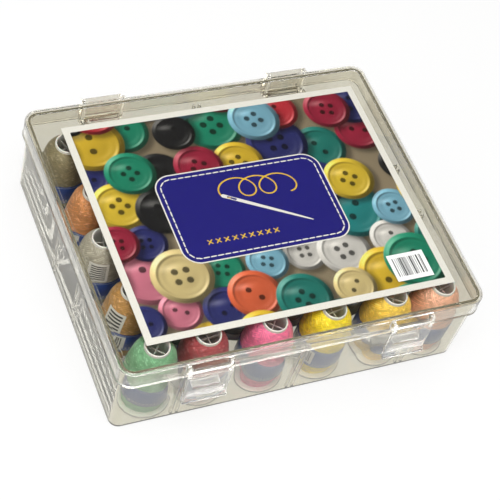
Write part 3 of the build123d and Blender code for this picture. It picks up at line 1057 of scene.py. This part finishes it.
@dataclass(frozen=True)
class PaperBand:
    """The printed band round the thread, a thin closed tube with slightly curled edges."""

    bottom: float = 15.0 * MILLIMETRE
    width: float = 21.0 * MILLIMETRE
    inner_radius: float = 19.55 * MILLIMETRE
    thickness: float = 0.25 * MILLIMETRE
    segments: int = 96

    def outline(self) -> np.ndarray:
        """The closed profile: up the outside, rounded over the top, down the inside."""
        half = self.thickness / 2
        middle = self.inner_radius + half
        top = arc((middle, self.bottom + self.width - half), half, 0, 180, 4)
        foot = arc((middle, self.bottom + half), half, 180, 360, 4)
        return np.vstack([foot, top])

    def add_to(self, shape: Shape, stand: Stand, turn: float) -> None:
        """Adds the band to a shape, with its panel facing turn from the cone's own X."""
        outline = self.outline()
        tube = revolved(outline, self.segments)
        height = np.append(outline[:, 1], outline[0, 1])
        v = (height - self.bottom) / self.width
        u = np.linspace(0, 1, self.segments + 1)
        chart = np.stack(np.broadcast_arrays(u[None, :], v[:, None]), axis=-1)
        shape.add_grid(
            stand.place(tube, turn - math.pi), chart, round_rows=True, round_columns=True
        )


@dataclass(frozen=True)
class FlankLabel:
    """A white label with plain bars, stuck high on one package's flank.

    It is a flat closed sheet bent round the package: a point's distance across becomes an angle
    at the package's radius, and its thickness stands out from there.
    """

    row: Row
    column: int
    heading: float
    bottom: float = 38.0 * MILLIMETRE
    height: float = 18.0 * MILLIMETRE
    width: float = 16.0 * MILLIMETRE
    lift: float = 0.1 * MILLIMETRE
    thickness: float = 0.15 * MILLIMETRE
    bar_count: int = 7
    margin: float = 2.0 * MILLIMETRE
    cells_across: int = 12

    def build(self, frame: Frame, package: ThreadPackage, finish: BarInk) -> None:
        """Makes the label and seats it on the tray.

        Args:
            frame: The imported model.
            package: The thread that it is stuck on.
            finish: The label's finish.
        """
        half = self.width / 2
        across = np.concatenate(
            [[-half], np.linspace(self.margin - half, half - self.margin, self.cells_across - 1), [half]]
        )
        rises = self.bottom + np.linspace(self.margin, self.height - self.margin, 2 * self.bar_count)
        upward = np.concatenate([[self.bottom], rises, [self.bottom + self.height]])
        node = frame.nodes[f"thread_{self.row.value}_{self.column}"]
        stand = Stand.under(node, package.foot_height)
        front = self.bent(across, upward, self.lift + self.thickness, package)
        back = self.bent(across, upward[::-1], self.lift, package)
        sheet = stand.place(np.concatenate([front, back]))
        shape = Shape()
        shape.add_grid(sheet, round_rows=True)
        left = np.arange(len(sheet)) * len(across)
        shape.add_cap(left)
        shape.add_cap(left[::-1] + len(across) - 1)
        piece = shape.build(f"bar_label_{self.row.value}_{self.column}")
        rows = 1 + 2 * np.arange(self.bar_count)
        columns = 1 + np.arange(self.cells_across - 2)
        cells = (rows[:, None] * self.cells_across + columns[None, :]).ravel()
        finish.colour_cells(piece.data, cells)
        piece.data.materials.append(finish.material())
        frame.seat(piece, Body.TRAY)

    def bent(
        self, across: np.ndarray, upward: np.ndarray, lift: float, package: ThreadPackage
    ) -> np.ndarray:
        """A grid of the flat sheet's points, moved onto the package's flank.

        Args:
            across: The grid's distances from the label's middle.
            upward: The grid's heights over the cone's foot.
            lift: How far the grid stands out from the flank.
            package: The thread that it is stuck on.

        Returns:
            A grid of rows by columns by 3.
        """
        outline = package.outline()
        radius = np.interp(upward, outline[:, 1], outline[:, 0])[:, None]
        angle = self.heading + across[None, :] / radius
        reach = radius + lift
        return np.stack(
            np.broadcast_arrays(reach * np.cos(angle), reach * np.sin(angle), upward[:, None]), axis=-1
        )


@dataclass
class ConeRow:
    """One row of cones: a thread package for each, with the row's cores and bands joined."""

    row: Row
    columns: int = 6
    package: ThreadPackage = field(default_factory=ThreadPackage)
    core: ConeCore = field(default_factory=ConeCore)
    band: PaperBand = field(default_factory=PaperBand)
    turn_step: float = 2.399963
    panel_headings: dict[tuple[Row, int], float] = field(
        default_factory=lambda: {
            (Row.SECOND, 1): math.radians(215),
            (Row.MIDDLE, 1): math.radians(205),
            (Row.FOURTH, 1): math.radians(195),
        }
    )

    def build(self, frame: Frame, core_finish: MilkyPlastic, band_finish: BandPaper) -> None:
        """Makes the row's pieces and seats them on the tray.

        Args:
            frame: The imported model.
            core_finish: The cores' finish.
            band_finish: The bands' finish.
        """
        cores, bands = Shape(), Shape()
        for column in range(1, self.columns + 1):
            node = f"thread_{self.row.value}_{column}"
            colour = frame.colour_of(node)
            stand = Stand.under(frame.nodes[node], self.package.foot_height)
            turn = self.turn_step * (column + self.columns * list(Row).index(self.row))
            wound = Shape()
            self.package.add_to(wound, stand, turn)
            piece = wound.build(f"wound_{node}", "winding")
            piece.data.materials.append(WoundThread(f"finish_{node}", colour).material())
            frame.seat(piece, Body.TRAY, node)
            self.core.add_to(cores, stand, colour, turn)
            self.band.add_to(bands, stand, self.panel_headings.get((self.row, column), turn))
        for shape, kind, chart, slot, material in (
            (cores, "cores", None, "core_plastic", core_finish.material()),
            (bands, "bands", "printing", "band_paper", band_finish.material()),
        ):
            piece = shape.build(f"{kind}_of_{self.row.value}_row", chart)
            piece.data.materials.append(material)
            frame.seat(piece, Body.TRAY, f"{kind}_{self.row.value}")


# ---------------------------------------------------------------------------- printed card
@dataclass(frozen=True)
class Button:
    """One sewing button of the printed picture, in the card's own millimetres."""

    x: float
    y: float
    radius: float
    colour: Colour
    holes: int
    turn: float


@dataclass
class CardArtwork:
    """The picture on the card: scattered buttons on linen, and a stitched blue panel over them.

    Everything is a formula of the card's own coordinates in millimetres, with X to the right
    and Y to the back, measured from the card's middle.
    """

    length: float
    depth: float
    border: float = 5.7
    seed: int = 11
    linen: Colour = (0.24, 0.195, 0.13)
    palette: tuple[Colour, ...] = (
        (0.60, 0.03, 0.05),
        (0.78, 0.56, 0.04),
        (0.015, 0.26, 0.27),
        (0.72, 0.71, 0.70),
        (0.025, 0.03, 0.17),
        (0.72, 0.13, 0.05),
        (0.68, 0.20, 0.30),
        (0.01, 0.27, 0.16),
        (0.22, 0.50, 0.68),
        (0.74, 0.60, 0.28),
        (0.35, 0.015, 0.05),
        (0.010, 0.010, 0.012),
        (0.012, 0.20, 0.17),
        (0.74, 0.50, 0.03),
    )
    spacing: float = 34.0
    light: tuple[float, float, float] = (-0.45, 0.55, 0.70)
    panel_middle: tuple[float, float] = (-4.0, -1.0)
    panel_half: tuple[float, float] = (71.0, 43.0)
    panel_corner: float = 14.0

    def scattered(self) -> list[Button]:
        """Buttons on a staggered grid, each moved and sized by a seeded draw."""
        draw = np.random.default_rng(self.seed)
        found = []
        rows = int(self.depth / self.spacing) + 2
        columns = int(self.length / self.spacing) + 2
        for row in range(rows):
            for column in range(columns):
                x = (column - (columns - 1) / 2 + 0.5 * (row % 2) - 0.25) * self.spacing
                y = (row - (rows - 1) / 2) * self.spacing
                found.append(
                    Button(
                        x + draw.uniform(-8, 8),
                        y + draw.uniform(-8, 8),
                        draw.uniform(16.5, 27.0),
                        self.palette[draw.integers(len(self.palette))],
                        int(draw.choice([2, 4, 4])),
                        draw.uniform(0, math.pi),
                    )
                )
        return [found[number] for number in draw.permutation(len(found))]

    def weave(self, x: np.ndarray, y: np.ndarray) -> np.ndarray:
        """The linen ground: its colour times one plus crossing waves, darker towards the back."""
        threads = 0.10 * np.sin(2.2 * x) * np.sin(2.0 * y) + 0.08 * np.sin(0.07 * x + 0.05 * y)
        fall = 1.0 - 0.25 * (x + y) / (self.length + self.depth)
        return np.array(self.linen) * ((1 + threads) * fall)[..., None]

    def lay_button(self, picture: np.ndarray, x: np.ndarray, y: np.ndarray, button: Button) -> None:
        """Draws a button and its soft shadow into the picture.

        Its height is a raised rim and a shallow dish as a function of distance from its middle,
        and the slope of that height meets the light for its shade.

        Args:
            picture: The colours so far, changed in place.
            x: The points' X.
            y: The points' Y.
            button: The button.
        """
        across, upward = x - button.x, y - button.y
        distance = np.hypot(across, upward)
        share = distance / button.radius
        shadow = np.hypot(across - 3.0, upward + 3.4) - button.radius
        dark = 0.62 * (1 - smooth_step(shadow, -2.5, 4.5))
        picture *= (1 - dark)[..., None]
        slope = (
            -1.5 * bump_at(share, 0.95, 0.07)
            + 0.9 * bump_at(share, 0.78, 0.05)
            + 0.35 * bump_at(share, 0.60, 0.12)
        )
        slope -= 1.1 * bump_at(share, 0.86, 0.03)
        safe = np.maximum(distance, 1e-6)
        normal_x, normal_y = -slope * across / safe, -slope * upward / safe
        facing = (normal_x * self.light[0] + normal_y * self.light[1] + self.light[2]) / np.sqrt(
            1 + normal_x**2 + normal_y**2
        )
        body = np.array(button.colour)
        lit_side = (-across * self.light[0] - upward * self.light[1]) / button.radius
        fall = 1 - 0.42 * smooth_step(lit_side, -0.6, 0.7)
        shaded = body * ((0.24 + 1.0 * np.clip(facing, 0, None)) * fall)[..., None]
        gleam = np.clip(facing, 0, 1) ** 18 * 0.55
        gleam += 0.30 * np.exp(-(((across + 0.33 * button.radius) / (0.30 * button.radius)) ** 2
                                 + ((upward - 0.36 * button.radius) / (0.12 * button.radius)) ** 2))
        shaded = shaded + gleam[..., None] * (0.35 + 0.65 * body)
        hole_radius = 0.115 * button.radius
        for number in range(button.holes):
            angle = button.turn + number * 2 * math.pi / button.holes
            hole_x = 0.27 * button.radius * math.cos(angle)
            hole_y = 0.27 * button.radius * math.sin(angle)
            gap = np.hypot(across - hole_x, upward - hole_y)
            open_share = 1 - smooth_step(gap, hole_radius - 0.4, hole_radius + 0.4)
            shaded = shaded * (1 - 0.85 * open_share)[..., None]
        cover = 1 - smooth_step(distance, button.radius - 0.45, button.radius + 0.45)
        picture *= (1 - cover)[..., None]
        picture += shaded * cover[..., None]

    def picture(self, x: np.ndarray, y: np.ndarray) -> np.ndarray:
        """The printed picture's colours at the given points."""
        colours = self.weave(x, y)
        for button in self.scattered():
            self.lay_button(colours, x, y, button)
        return np.clip(colours, 0.004, 0.92)

    def panel_edge(self, x: np.ndarray, y: np.ndarray) -> np.ndarray:
        """Distance to the blue panel's edge: that of a box with rounded corners."""
        return rounded_box(
            x - self.panel_middle[0], y - self.panel_middle[1], self.panel_half, self.panel_corner
        )

    def stitches(self, x: np.ndarray, y: np.ndarray) -> np.ndarray:
        """Distance to the row of white stitches inside the panel's edge."""
        inset, pitch, half_length, half_width = 4.2, 6.0, 2.1, 0.55
        half = (self.panel_half[0] - inset, self.panel_half[1] - inset)
        corner = self.panel_corner - inset
        straight = [half[0] - corner, half[1] - corner]
        turn = math.pi / 2 * corner
        perimeter = 4 * (straight[0] + straight[1]) + 4 * turn
        count = round(perimeter / pitch)
        middles = (np.arange(count) + 0.5) * perimeter / count
        best = np.full(x.shape, 1e3)
        for middle in middles:
            spot, heading = self._on_seam(middle, straight, corner)
            across = x - self.panel_middle[0] - spot[0]
            upward = y - self.panel_middle[1] - spot[1]
            along = across * math.cos(heading) + upward * math.sin(heading)
            aside = -across * math.sin(heading) + upward * math.cos(heading)
            beyond = np.maximum(np.abs(along) - half_length, 0)
            best = np.minimum(best, np.hypot(beyond, aside) - half_width)
        return best

    def _on_seam(self, run: float, straight: list[float], corner: float) -> tuple:
        """A point at a distance along the rounded seam, and the seam's heading there."""
        turn = math.pi / 2 * corner
        for quarter in range(4):
            side = 2 * straight[quarter % 2]
            heading = quarter * math.pi / 2
            forward = np.array([math.cos(heading), math.sin(heading)])
            outward = np.array([forward[1], -forward[0]])
            half_side = straight[quarter % 2]
            offset = straight[(quarter + 1) % 2] + corner
            if run <= side:
                return forward * (run - half_side) + outward * offset, heading
            run -= side
            if run <= turn:
                angle = heading + run / corner
                pivot = forward * half_side + outward * (offset - corner)
                arm = np.array([math.sin(angle), -math.cos(angle)]) * corner
                return pivot + arm, angle
            run -= turn
        return np.zeros(2), 0.0

    def needle(self, x: np.ndarray, y: np.ndarray) -> np.ndarray:
        """Distance to a white needle that tapers to its point, with a slot for its eye."""
        tip, head = np.array([44.0, -22.0]), np.array([-20.0, 15.0])
        axis = head - tip
        length = np.linalg.norm(axis)
        axis /= length
        across, upward = x - self.panel_middle[0] - tip[0], y - self.panel_middle[1] - tip[1]
        along = np.clip(across * axis[0] + upward * axis[1], 0, length)
        aside = np.hypot(across - along * axis[0], upward - along * axis[1])
        share = along / length
        body = aside - (0.35 + 1.35 * np.sqrt(share))
        eye_middle = tip + axis * (length - 7.0)
        eye_x, eye_y = x - self.panel_middle[0] - eye_middle[0], y - self.panel_middle[1] - eye_middle[1]
        eye_along = np.abs(eye_x * axis[0] + eye_y * axis[1])
        eye_aside = np.abs(-eye_x * axis[1] + eye_y * axis[0])
        eye = np.hypot(np.maximum(eye_along - 3.4, 0), eye_aside) - 0.75
        return np.maximum(body, -eye)

    def thread_loops(self, x: np.ndarray, y: np.ndarray) -> np.ndarray:
        """Distance to a yellow thread that leaves the needle's eye in three round loops."""
        run = np.linspace(0, 1, 150)
        swing = 2 * math.pi * 3.0 * run
        path_x = self.panel_middle[0] - 15.0 + 52.0 * run - 11.0 * np.sin(swing)
        path_y = self.panel_middle[1] + 12.0 + 9.5 * (1 - np.cos(swing)) - 3.0 * run
        best = np.full(x.shape, 1e3)
        for start_x, start_y, stop_x, stop_y in zip(
            path_x[:-1], path_y[:-1], path_x[1:], path_y[1:], strict=True
        ):
            best = np.minimum(best, to_segment(x, y, (start_x, start_y), (stop_x, stop_y)))
        return best - 0.62

    def crosses(self, x: np.ndarray, y: np.ndarray) -> np.ndarray:
        """Distance to a row of small yellow cross stitches along the panel's foot."""
        best = np.full(x.shape, 1e3)
        for number in range(9):
            middle_x = self.panel_middle[0] - 46.0 + 7.0 * number
            middle_y = self.panel_middle[1] - 25.5
            for rise in (-1, 1):
                start = (middle_x - 1.9, middle_y - 1.9 * rise)
                stop = (middle_x + 1.9, middle_y + 1.9 * rise)
                best = np.minimum(best, to_segment(x, y, start, stop))
        return best - 0.5

    def white_ink(self, x: np.ndarray, y: np.ndarray) -> np.ndarray:
        """Distance to the white ink: the card's border, the panel's outline and its drawing."""
        half = (self.length / 2 - self.border, self.depth / 2 - self.border)
        border = -rounded_box(x, y, half, 0.0)
        outline = np.abs(self.panel_edge(x, y)) - 0.55
        ink = np.minimum(border, outline)
        return np.minimum(ink, np.minimum(self.stitches(x, y), self.needle(x, y)))

    def yellow_ink(self, x: np.ndarray, y: np.ndarray) -> np.ndarray:
        """Distance to the yellow ink."""
        return np.minimum(self.thread_loops(x, y), self.crosses(x, y))


def smooth_step(value: np.ndarray, low: float, high: float) -> np.ndarray:
    """Rises from 0 to 1 between low and high, as 3 s squared less 2 s cubed."""
    share = np.clip((value - low) / (high - low), 0, 1)
    return share * share * (3 - 2 * share)


def bump_at(value: np.ndarray, middle: float, width: float) -> np.ndarray:
    """A bell of height one about a middle."""
    return np.exp(-(((value - middle) / width) ** 2))


def rounded_box(x: np.ndarray, y: np.ndarray, half: tuple[float, float], corner: float) -> np.ndarray:
    """Signed distance to a box with rounded corners, below zero inside."""
    over_x, over_y = np.abs(x) - (half[0] - corner), np.abs(y) - (half[1] - corner)
    outside = np.hypot(np.maximum(over_x, 0), np.maximum(over_y, 0))
    return outside + np.minimum(np.maximum(over_x, over_y), 0) - corner


def to_segment(
    x: np.ndarray, y: np.ndarray, start: tuple[float, float], stop: tuple[float, float]
) -> np.ndarray:
    """Distance from each point to a straight segment."""
    run_x, run_y = stop[0] - start[0], stop[1] - start[1]
    share = ((x - start[0]) * run_x + (y - start[1]) * run_y) / (run_x**2 + run_y**2)
    share = np.clip(share, 0, 1)
    return np.hypot(x - start[0] - share * run_x, y - start[1] - share * run_y)


def add_slab(
    shape: Shape, across: np.ndarray, upward: np.ndarray, bottom: float, top: float, **values: np.ndarray
) -> None:
    """Adds a closed thin slab: a fine grid on top, a rim of walls and one face below.

    Args:
        shape: The shape it goes into.
        across: The grid's X values.
        upward: The grid's Y values.
        bottom: The underside's height.
        top: The top's height.
        **values: Attribute values for the top's points, row by row.
    """
    x, y = np.meshgrid(across, upward)
    first = shape.count
    padding = {}
    rows, columns = x.shape
    rim = np.concatenate(
        [
            np.arange(columns),
            np.arange(1, rows) * columns + columns - 1,
            (rows - 1) * columns + np.arange(columns - 2, -1, -1),
            np.arange(rows - 2, 0, -1) * columns,
        ]
    )
    for name, value in values.items():
        padding[name] = value[rim]
    shape.add_grid(np.stack([x, y, np.full_like(x, top)], axis=-1), **values)
    low_points = np.stack([x.ravel()[rim], y.ravel()[rim], np.full(len(rim), bottom)], axis=-1)
    second = shape.count
    shape.add_points(low_points, padding)
    high, low = first + rim, second + np.arange(len(rim))
    walls = np.stack([low, np.roll(low, -1), np.roll(high, -1), high], axis=-1)
    shape.corners.append(walls.ravel())
    shape.totals.append(np.full(len(walls), 4))
    shape.materials.append(np.ones(len(walls), int))
    shape.maps.append(np.zeros((walls.size, 2)))
    shape.add_cap(low[::-1], material=1)


@dataclass
class PrintedCard:
    """The card under the lid's panel, a hair below it so that it doesn't touch the plastic."""

    node: str = "printed_card"
    hair: float = 0.06 * MILLIMETRE
    cell: float = 0.79 * MILLIMETRE

    def build(self, frame: Frame, finish: CardPrint, back: PlainPaper) -> None:
        """Makes the card and seats it on the lid.

        Args:
            frame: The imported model.
            finish: The printed side's finish.
            back: The finish of its edges and its back.
        """
        low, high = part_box(self.node)
        length, depth = high.x - low.x, high.y - low.y
        artwork = CardArtwork(length / MILLIMETRE, depth / MILLIMETRE)
        across = np.linspace(low.x, high.x, round(length / self.cell) + 1)
        upward = np.linspace(low.y, high.y, round(depth / self.cell) + 1)
        x, y = np.meshgrid(
            (across - (low.x + high.x) / 2) / MILLIMETRE, (upward - (low.y + high.y) / 2) / MILLIMETRE
        )
        shape = Shape()
        add_slab(
            shape,
            across,
            upward,
            low.z,
            high.z - self.hair,
            picture=artwork.picture(x, y).reshape(-1, 3),
            panel_edge=artwork.panel_edge(x, y).ravel(),
            white_ink=artwork.white_ink(x, y).ravel(),
            yellow_ink=artwork.yellow_ink(x, y).ravel(),
        )
        piece = shape.build("card_with_picture")
        piece.data.materials.append(finish.material())
        piece.data.materials.append(back.material())
        frame.seat(piece, Body.LID, self.node)


@dataclass
class BarSticker:
    """The small white sticker on the lid, with plain bars of seeded widths."""

    node: str = "bar_sticker"
    hair: float = 0.02 * MILLIMETRE
    bar_count: int = 36
    side_margin: float = 0.10
    foot_margin: float = 0.16
    head_margin: float = 0.14
    seed: int = 5

    def build(self, frame: Frame, finish: BarInk, back: PlainPaper) -> None:
        """Makes the sticker and seats it on the lid.

        Args:
            frame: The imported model.
            finish: The printed side's finish.
            back: The finish of its edges and its back.
        """
        low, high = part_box(self.node)
        length, depth = high.x - low.x, high.y - low.y
        draw = np.random.default_rng(self.seed)
        widths = draw.choice([1.0, 1.0, 2.0, 3.0], self.bar_count)
        steps = np.concatenate([[0], np.cumsum(widths)]) / widths.sum()
        inner = self.side_margin + steps * (1 - 2 * self.side_margin)
        across = low.x + length * np.concatenate([[0], inner, [1]])
        upward = low.y + depth * np.array([0, self.foot_margin, 1 - self.head_margin, 1])
        shape = Shape()
        add_slab(shape, across, upward, low.z + self.hair, high.z)
        piece = shape.build("sticker_with_bars")
        finish.colour_cells(piece.data, len(across) + 2 * np.arange(self.bar_count // 2))
        piece.data.materials.append(finish.material())
        piece.data.materials.append(back.material())
        frame.seat(piece, Body.LID, self.node)


# ---------------------------------------------------------------------------- studio
@dataclass(frozen=True)
class Softbox:
    """A square area lamp aimed at the box."""

    name: str
    place: tuple[float, float, float]
    side: float
    power: float

    def build(self, aim: Vector) -> None:
        """Makes the lamp and turns it to the aim."""
        lamp = bpy.data.lights.new(self.name, "AREA")
        lamp.size = self.side
        lamp.energy = self.power
        holder = bpy.data.objects.new(self.name, lamp)
        holder.location = self.place
        holder.rotation_euler = (aim - Vector(self.place)).to_track_quat("-Z", "Y").to_euler()
        bpy.context.scene.collection.objects.link(holder)


@dataclass
class Studio:
    """Pale floor, even sky, soft lamps and the photograph's camera."""

    camera_place: tuple[float, float, float] = (-0.4643, -0.6322, 0.9911)
    azimuth: float = math.radians(36.965)
    elevation: float = math.radians(50.928)
    roll: float = math.radians(19.679)
    lens: float = 110.53
    sensor: float = 36.0
    floor_half: float = 12.0
    floor_gap: float = 0.4 * MILLIMETRE
    floor_white: Colour = (0.82, 0.82, 0.81)
    floor_glow: float = 0.72
    floor_glow_through: float = 0.0
    sky_strength: float = 0.62
    sky_gloss_high: float = 0.04
    window_slant: float = 0.8
    window_strength: float = 7.0
    lamps: tuple[Softbox, ...] = (
        Softbox("key_softbox", (-0.22, -0.38, 1.5), 0.8, 18.5),
        Softbox("side_softbox", (-1.3, -0.2, 0.7), 0.7, 3.2),
    )

    def build(self) -> None:
        """Makes the whole studio."""
        self._camera()
        self._floor()
        self._sky()
        aim = Vector((0.0, 0.0, 0.04))
        for lamp in self.lamps:
            lamp.build(aim)
        scene = bpy.context.scene
        scene.view_settings.view_transform = "Standard"
        scene.cycles.max_bounces = 32
        scene.cycles.glossy_bounces = 32
        scene.cycles.transmission_bounces = 32
        scene.cycles.transparent_max_bounces = 32

    def _camera(self) -> None:
        """Looks along the photograph's direction, with the camera leaning to the left."""
        forward = Vector(
            (
                math.cos(self.elevation) * math.sin(self.azimuth),
                math.cos(self.elevation) * math.cos(self.azimuth),
                -math.sin(self.elevation),
            )
        )
        level_right = forward.cross(Vector((0, 0, 1))).normalized()
        level_up = level_right.cross(forward)
        right = math.cos(self.roll) * level_right + math.sin(self.roll) * level_up
        upward = math.cos(self.roll) * level_up - math.sin(self.roll) * level_right
        camera = bpy.data.cameras.new("photo_camera")
        camera.lens = self.lens
        camera.sensor_width = self.sensor
        camera.clip_start, camera.clip_end = 0.01, 100.0
        holder = bpy.data.objects.new("photo_camera", camera)
        turned = Matrix((right, upward, -forward)).transposed().to_4x4()
        holder.matrix_world = Matrix.Translation(self.camera_place) @ turned
        bpy.context.scene.collection.objects.link(holder)
        bpy.context.scene.camera = holder

    def _glow_share(self, bench: Bench) -> bpy.types.NodeSocket:
        """How much the floor glows white, for rays from the camera, off gloss and through plastic."""
        path = bench.add("LightPath")
        both = bench.maths("MAXIMUM", path.outputs["Is Camera Ray"], path.outputs["Is Glossy Ray"])
        direct = bench.maths("MULTIPLY", both, self.floor_glow)
        through = bench.maths("MULTIPLY", path.outputs["Is Transmission Ray"], self.floor_glow_through)
        return bench.maths("MAXIMUM", direct, through)

    def _floor(self) -> None:
        """A wide pale floor that shows white and keeps the object's soft shadow."""
        half = self.floor_half
        mesh = bpy.data.meshes.new("studio_floor")
        corners = [(-half, -half), (half, -half), (half, half), (-half, half)]
        mesh.from_pydata([(x, y, -self.floor_gap) for x, y in corners], [], [(0, 1, 2, 3)])
        floor = bpy.data.objects.new("studio_floor", mesh)
        bpy.context.scene.collection.objects.link(floor)
        bench = Bench("pale_floor")
        matt = bench.add("BsdfDiffuse", {"Color": self.floor_white})
        glow = bench.add("Emission", {"Color": (1.0, 1.0, 1.0), "Strength": 1.0})
        share = self._glow_share(bench)
        mixed = bench.add("MixShader", {0: share, 1: matt.outputs[0], 2: glow.outputs[0]})
        mesh.materials.append(bench.finish(mixed.outputs[0]))

    def _sky(self) -> None:
        """White to the camera, and a plain soft light to everything that it lights.

        What gloss and clear plastic show is white near the horizon and dark overhead, like a
        studio's ceiling. Gloss also shows a bright window at the front and the left: where the
        direction's X is small, its Z is over the sill, and Z plus a share of Y is under a limit,
        so that the window gets lower towards the back.
        """
        world = bpy.data.worlds.new("studio_sky")
        bpy.context.scene.world = world
        bench = Bench(world.name, world)
        path = bench.add("LightPath")
        way = bench.add("SeparateXYZ", {"Vector": bench.add("TexCoord").outputs["Generated"]})
        high = bench.step(way.outputs["Z"], 0.06, 0.22)
        ceiling = bench.maths("MULTIPLY_ADD", high, self.sky_gloss_high - 1.0, 1.0)
        clear = bench.maths("MAXIMUM", path.outputs["Is Glossy Ray"], path.outputs["Is Transmission Ray"])
        beside = bench.step(way.outputs["X"], 0.42, 0.52)
        slant = bench.maths("MULTIPLY_ADD", way.outputs["Y"], self.window_slant, way.outputs["Z"])
        beyond = bench.maths("MAXIMUM", beside, bench.step(slant, 0.60, 0.72))
        inside = bench.maths("SUBTRACT", 1.0, beyond)
        window = bench.maths("MULTIPLY", inside, bench.step(way.outputs["Z"], 0.05, 0.12))
        window = bench.maths("MULTIPLY", window, path.outputs["Is Glossy Ray"])
        ceiling = bench.maths("MULTIPLY_ADD", window, self.window_strength, ceiling)
        lit = bench.number(clear, self.sky_strength, ceiling)
        strength = bench.number(path.outputs["Is Camera Ray"], lit, 1.0)
        sky = bench.add("Background", {"Color": (1.0, 1.0, 1.0), "Strength": strength})
        bench.finish(sky.outputs[0])


# ---------------------------------------------------------------------------- the whole object
@dataclass
class StorageBox:
    """The case, its cones, its card and its sticker."""

    tray_plastic: ClearPlastic = ClearPlastic(
        "tray_styrene", (0.85, 0.83, 0.74), (0.90, 0.89, 0.86), (0.55, 0.54, 0.50), clearness=0.955,
        ripple_strength=0.015,
    )
    lid_plastic: ClearPlastic = ClearPlastic(
        "lid_styrene", (0.91, 0.895, 0.84), (0.97, 0.965, 0.95), (0.90, 0.89, 0.87), clearness=1.0,
        ripple_strength=0.0,
    )
    latch_plastic: ClearPlastic = ClearPlastic(
        "latch_styrene", (0.93, 0.925, 0.90), (0.95, 0.95, 0.94), (0.90, 0.89, 0.87), clearness=0.97
    )
    steel: DrawnSteel = DrawnSteel("pin_wire")
    core_finish: MilkyPlastic = MilkyPlastic("core_polymer")
    band_finish: BandPaper = BandPaper("band_print")
    card_finish: CardPrint = CardPrint("card_gloss")
    card_back: PlainPaper = PlainPaper("card_back")
    sticker_finish: BarInk = BarInk("sticker_print")
    labels: tuple[FlankLabel, ...] = (
        FlankLabel(Row.MIDDLE, 1, math.radians(243)),
        FlankLabel(
            Row.SECOND,
            1,
            math.radians(212),
            bottom=36.5 * MILLIMETRE,
            height=20.0 * MILLIMETRE,
            bar_count=5,
        ),
    )

    def build(self, frame: Frame) -> None:
        """Makes every piece of the object."""
        self._case(frame)
        self._pins(frame)
        for row in Row:
            ConeRow(row).build(frame, self.core_finish, self.band_finish)
        for label in self.labels:
            label.build(frame, ThreadPackage(), self.sticker_finish)
        PrintedCard().build(frame, self.card_finish, self.card_back)
        BarSticker().build(frame, self.sticker_finish, self.card_back)

    def _case(self, frame: Frame) -> None:
        """Makes the tray, the lid and the two latches."""
        Moulding("base_tray", "tray_moulding", Body.TRAY, "tray_plastic").build(
            frame, self.tray_plastic.material()
        )
        Moulding("lid_cover", "lid_moulding", Body.LID, "lid_plastic").build(
            frame, self.lid_plastic.material()
        )
        latch_material = self.latch_plastic.material()
        for body in (Body.LATCH_LEFT, Body.LATCH_RIGHT):
            name = f"{body.value}_moulding"
            Moulding(body.value, name, body, "latch_plastic").build(frame, latch_material)

    def _pins(self, frame: Frame) -> None:
        """Makes the hinges' and the latches' pins."""
        material = self.steel.material()
        for kind, body in (("hinge", Body.TRAY), ("latch", Body.LID)):
            for side in ("left", "right"):
                node = f"{kind}_pin_{side}"
                Moulding(node, f"{kind}_wire_{side}", body, "pin_steel").build(frame, material)


def main() -> None:
    """Loads the frame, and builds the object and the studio."""
    logging.basicConfig(level=logging.INFO, format="%(name)s: %(message)s")
    frame = Frame.loaded()
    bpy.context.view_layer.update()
    StorageBox().build(frame)
    Studio().build()


if __name__ == "__main__":
    main()
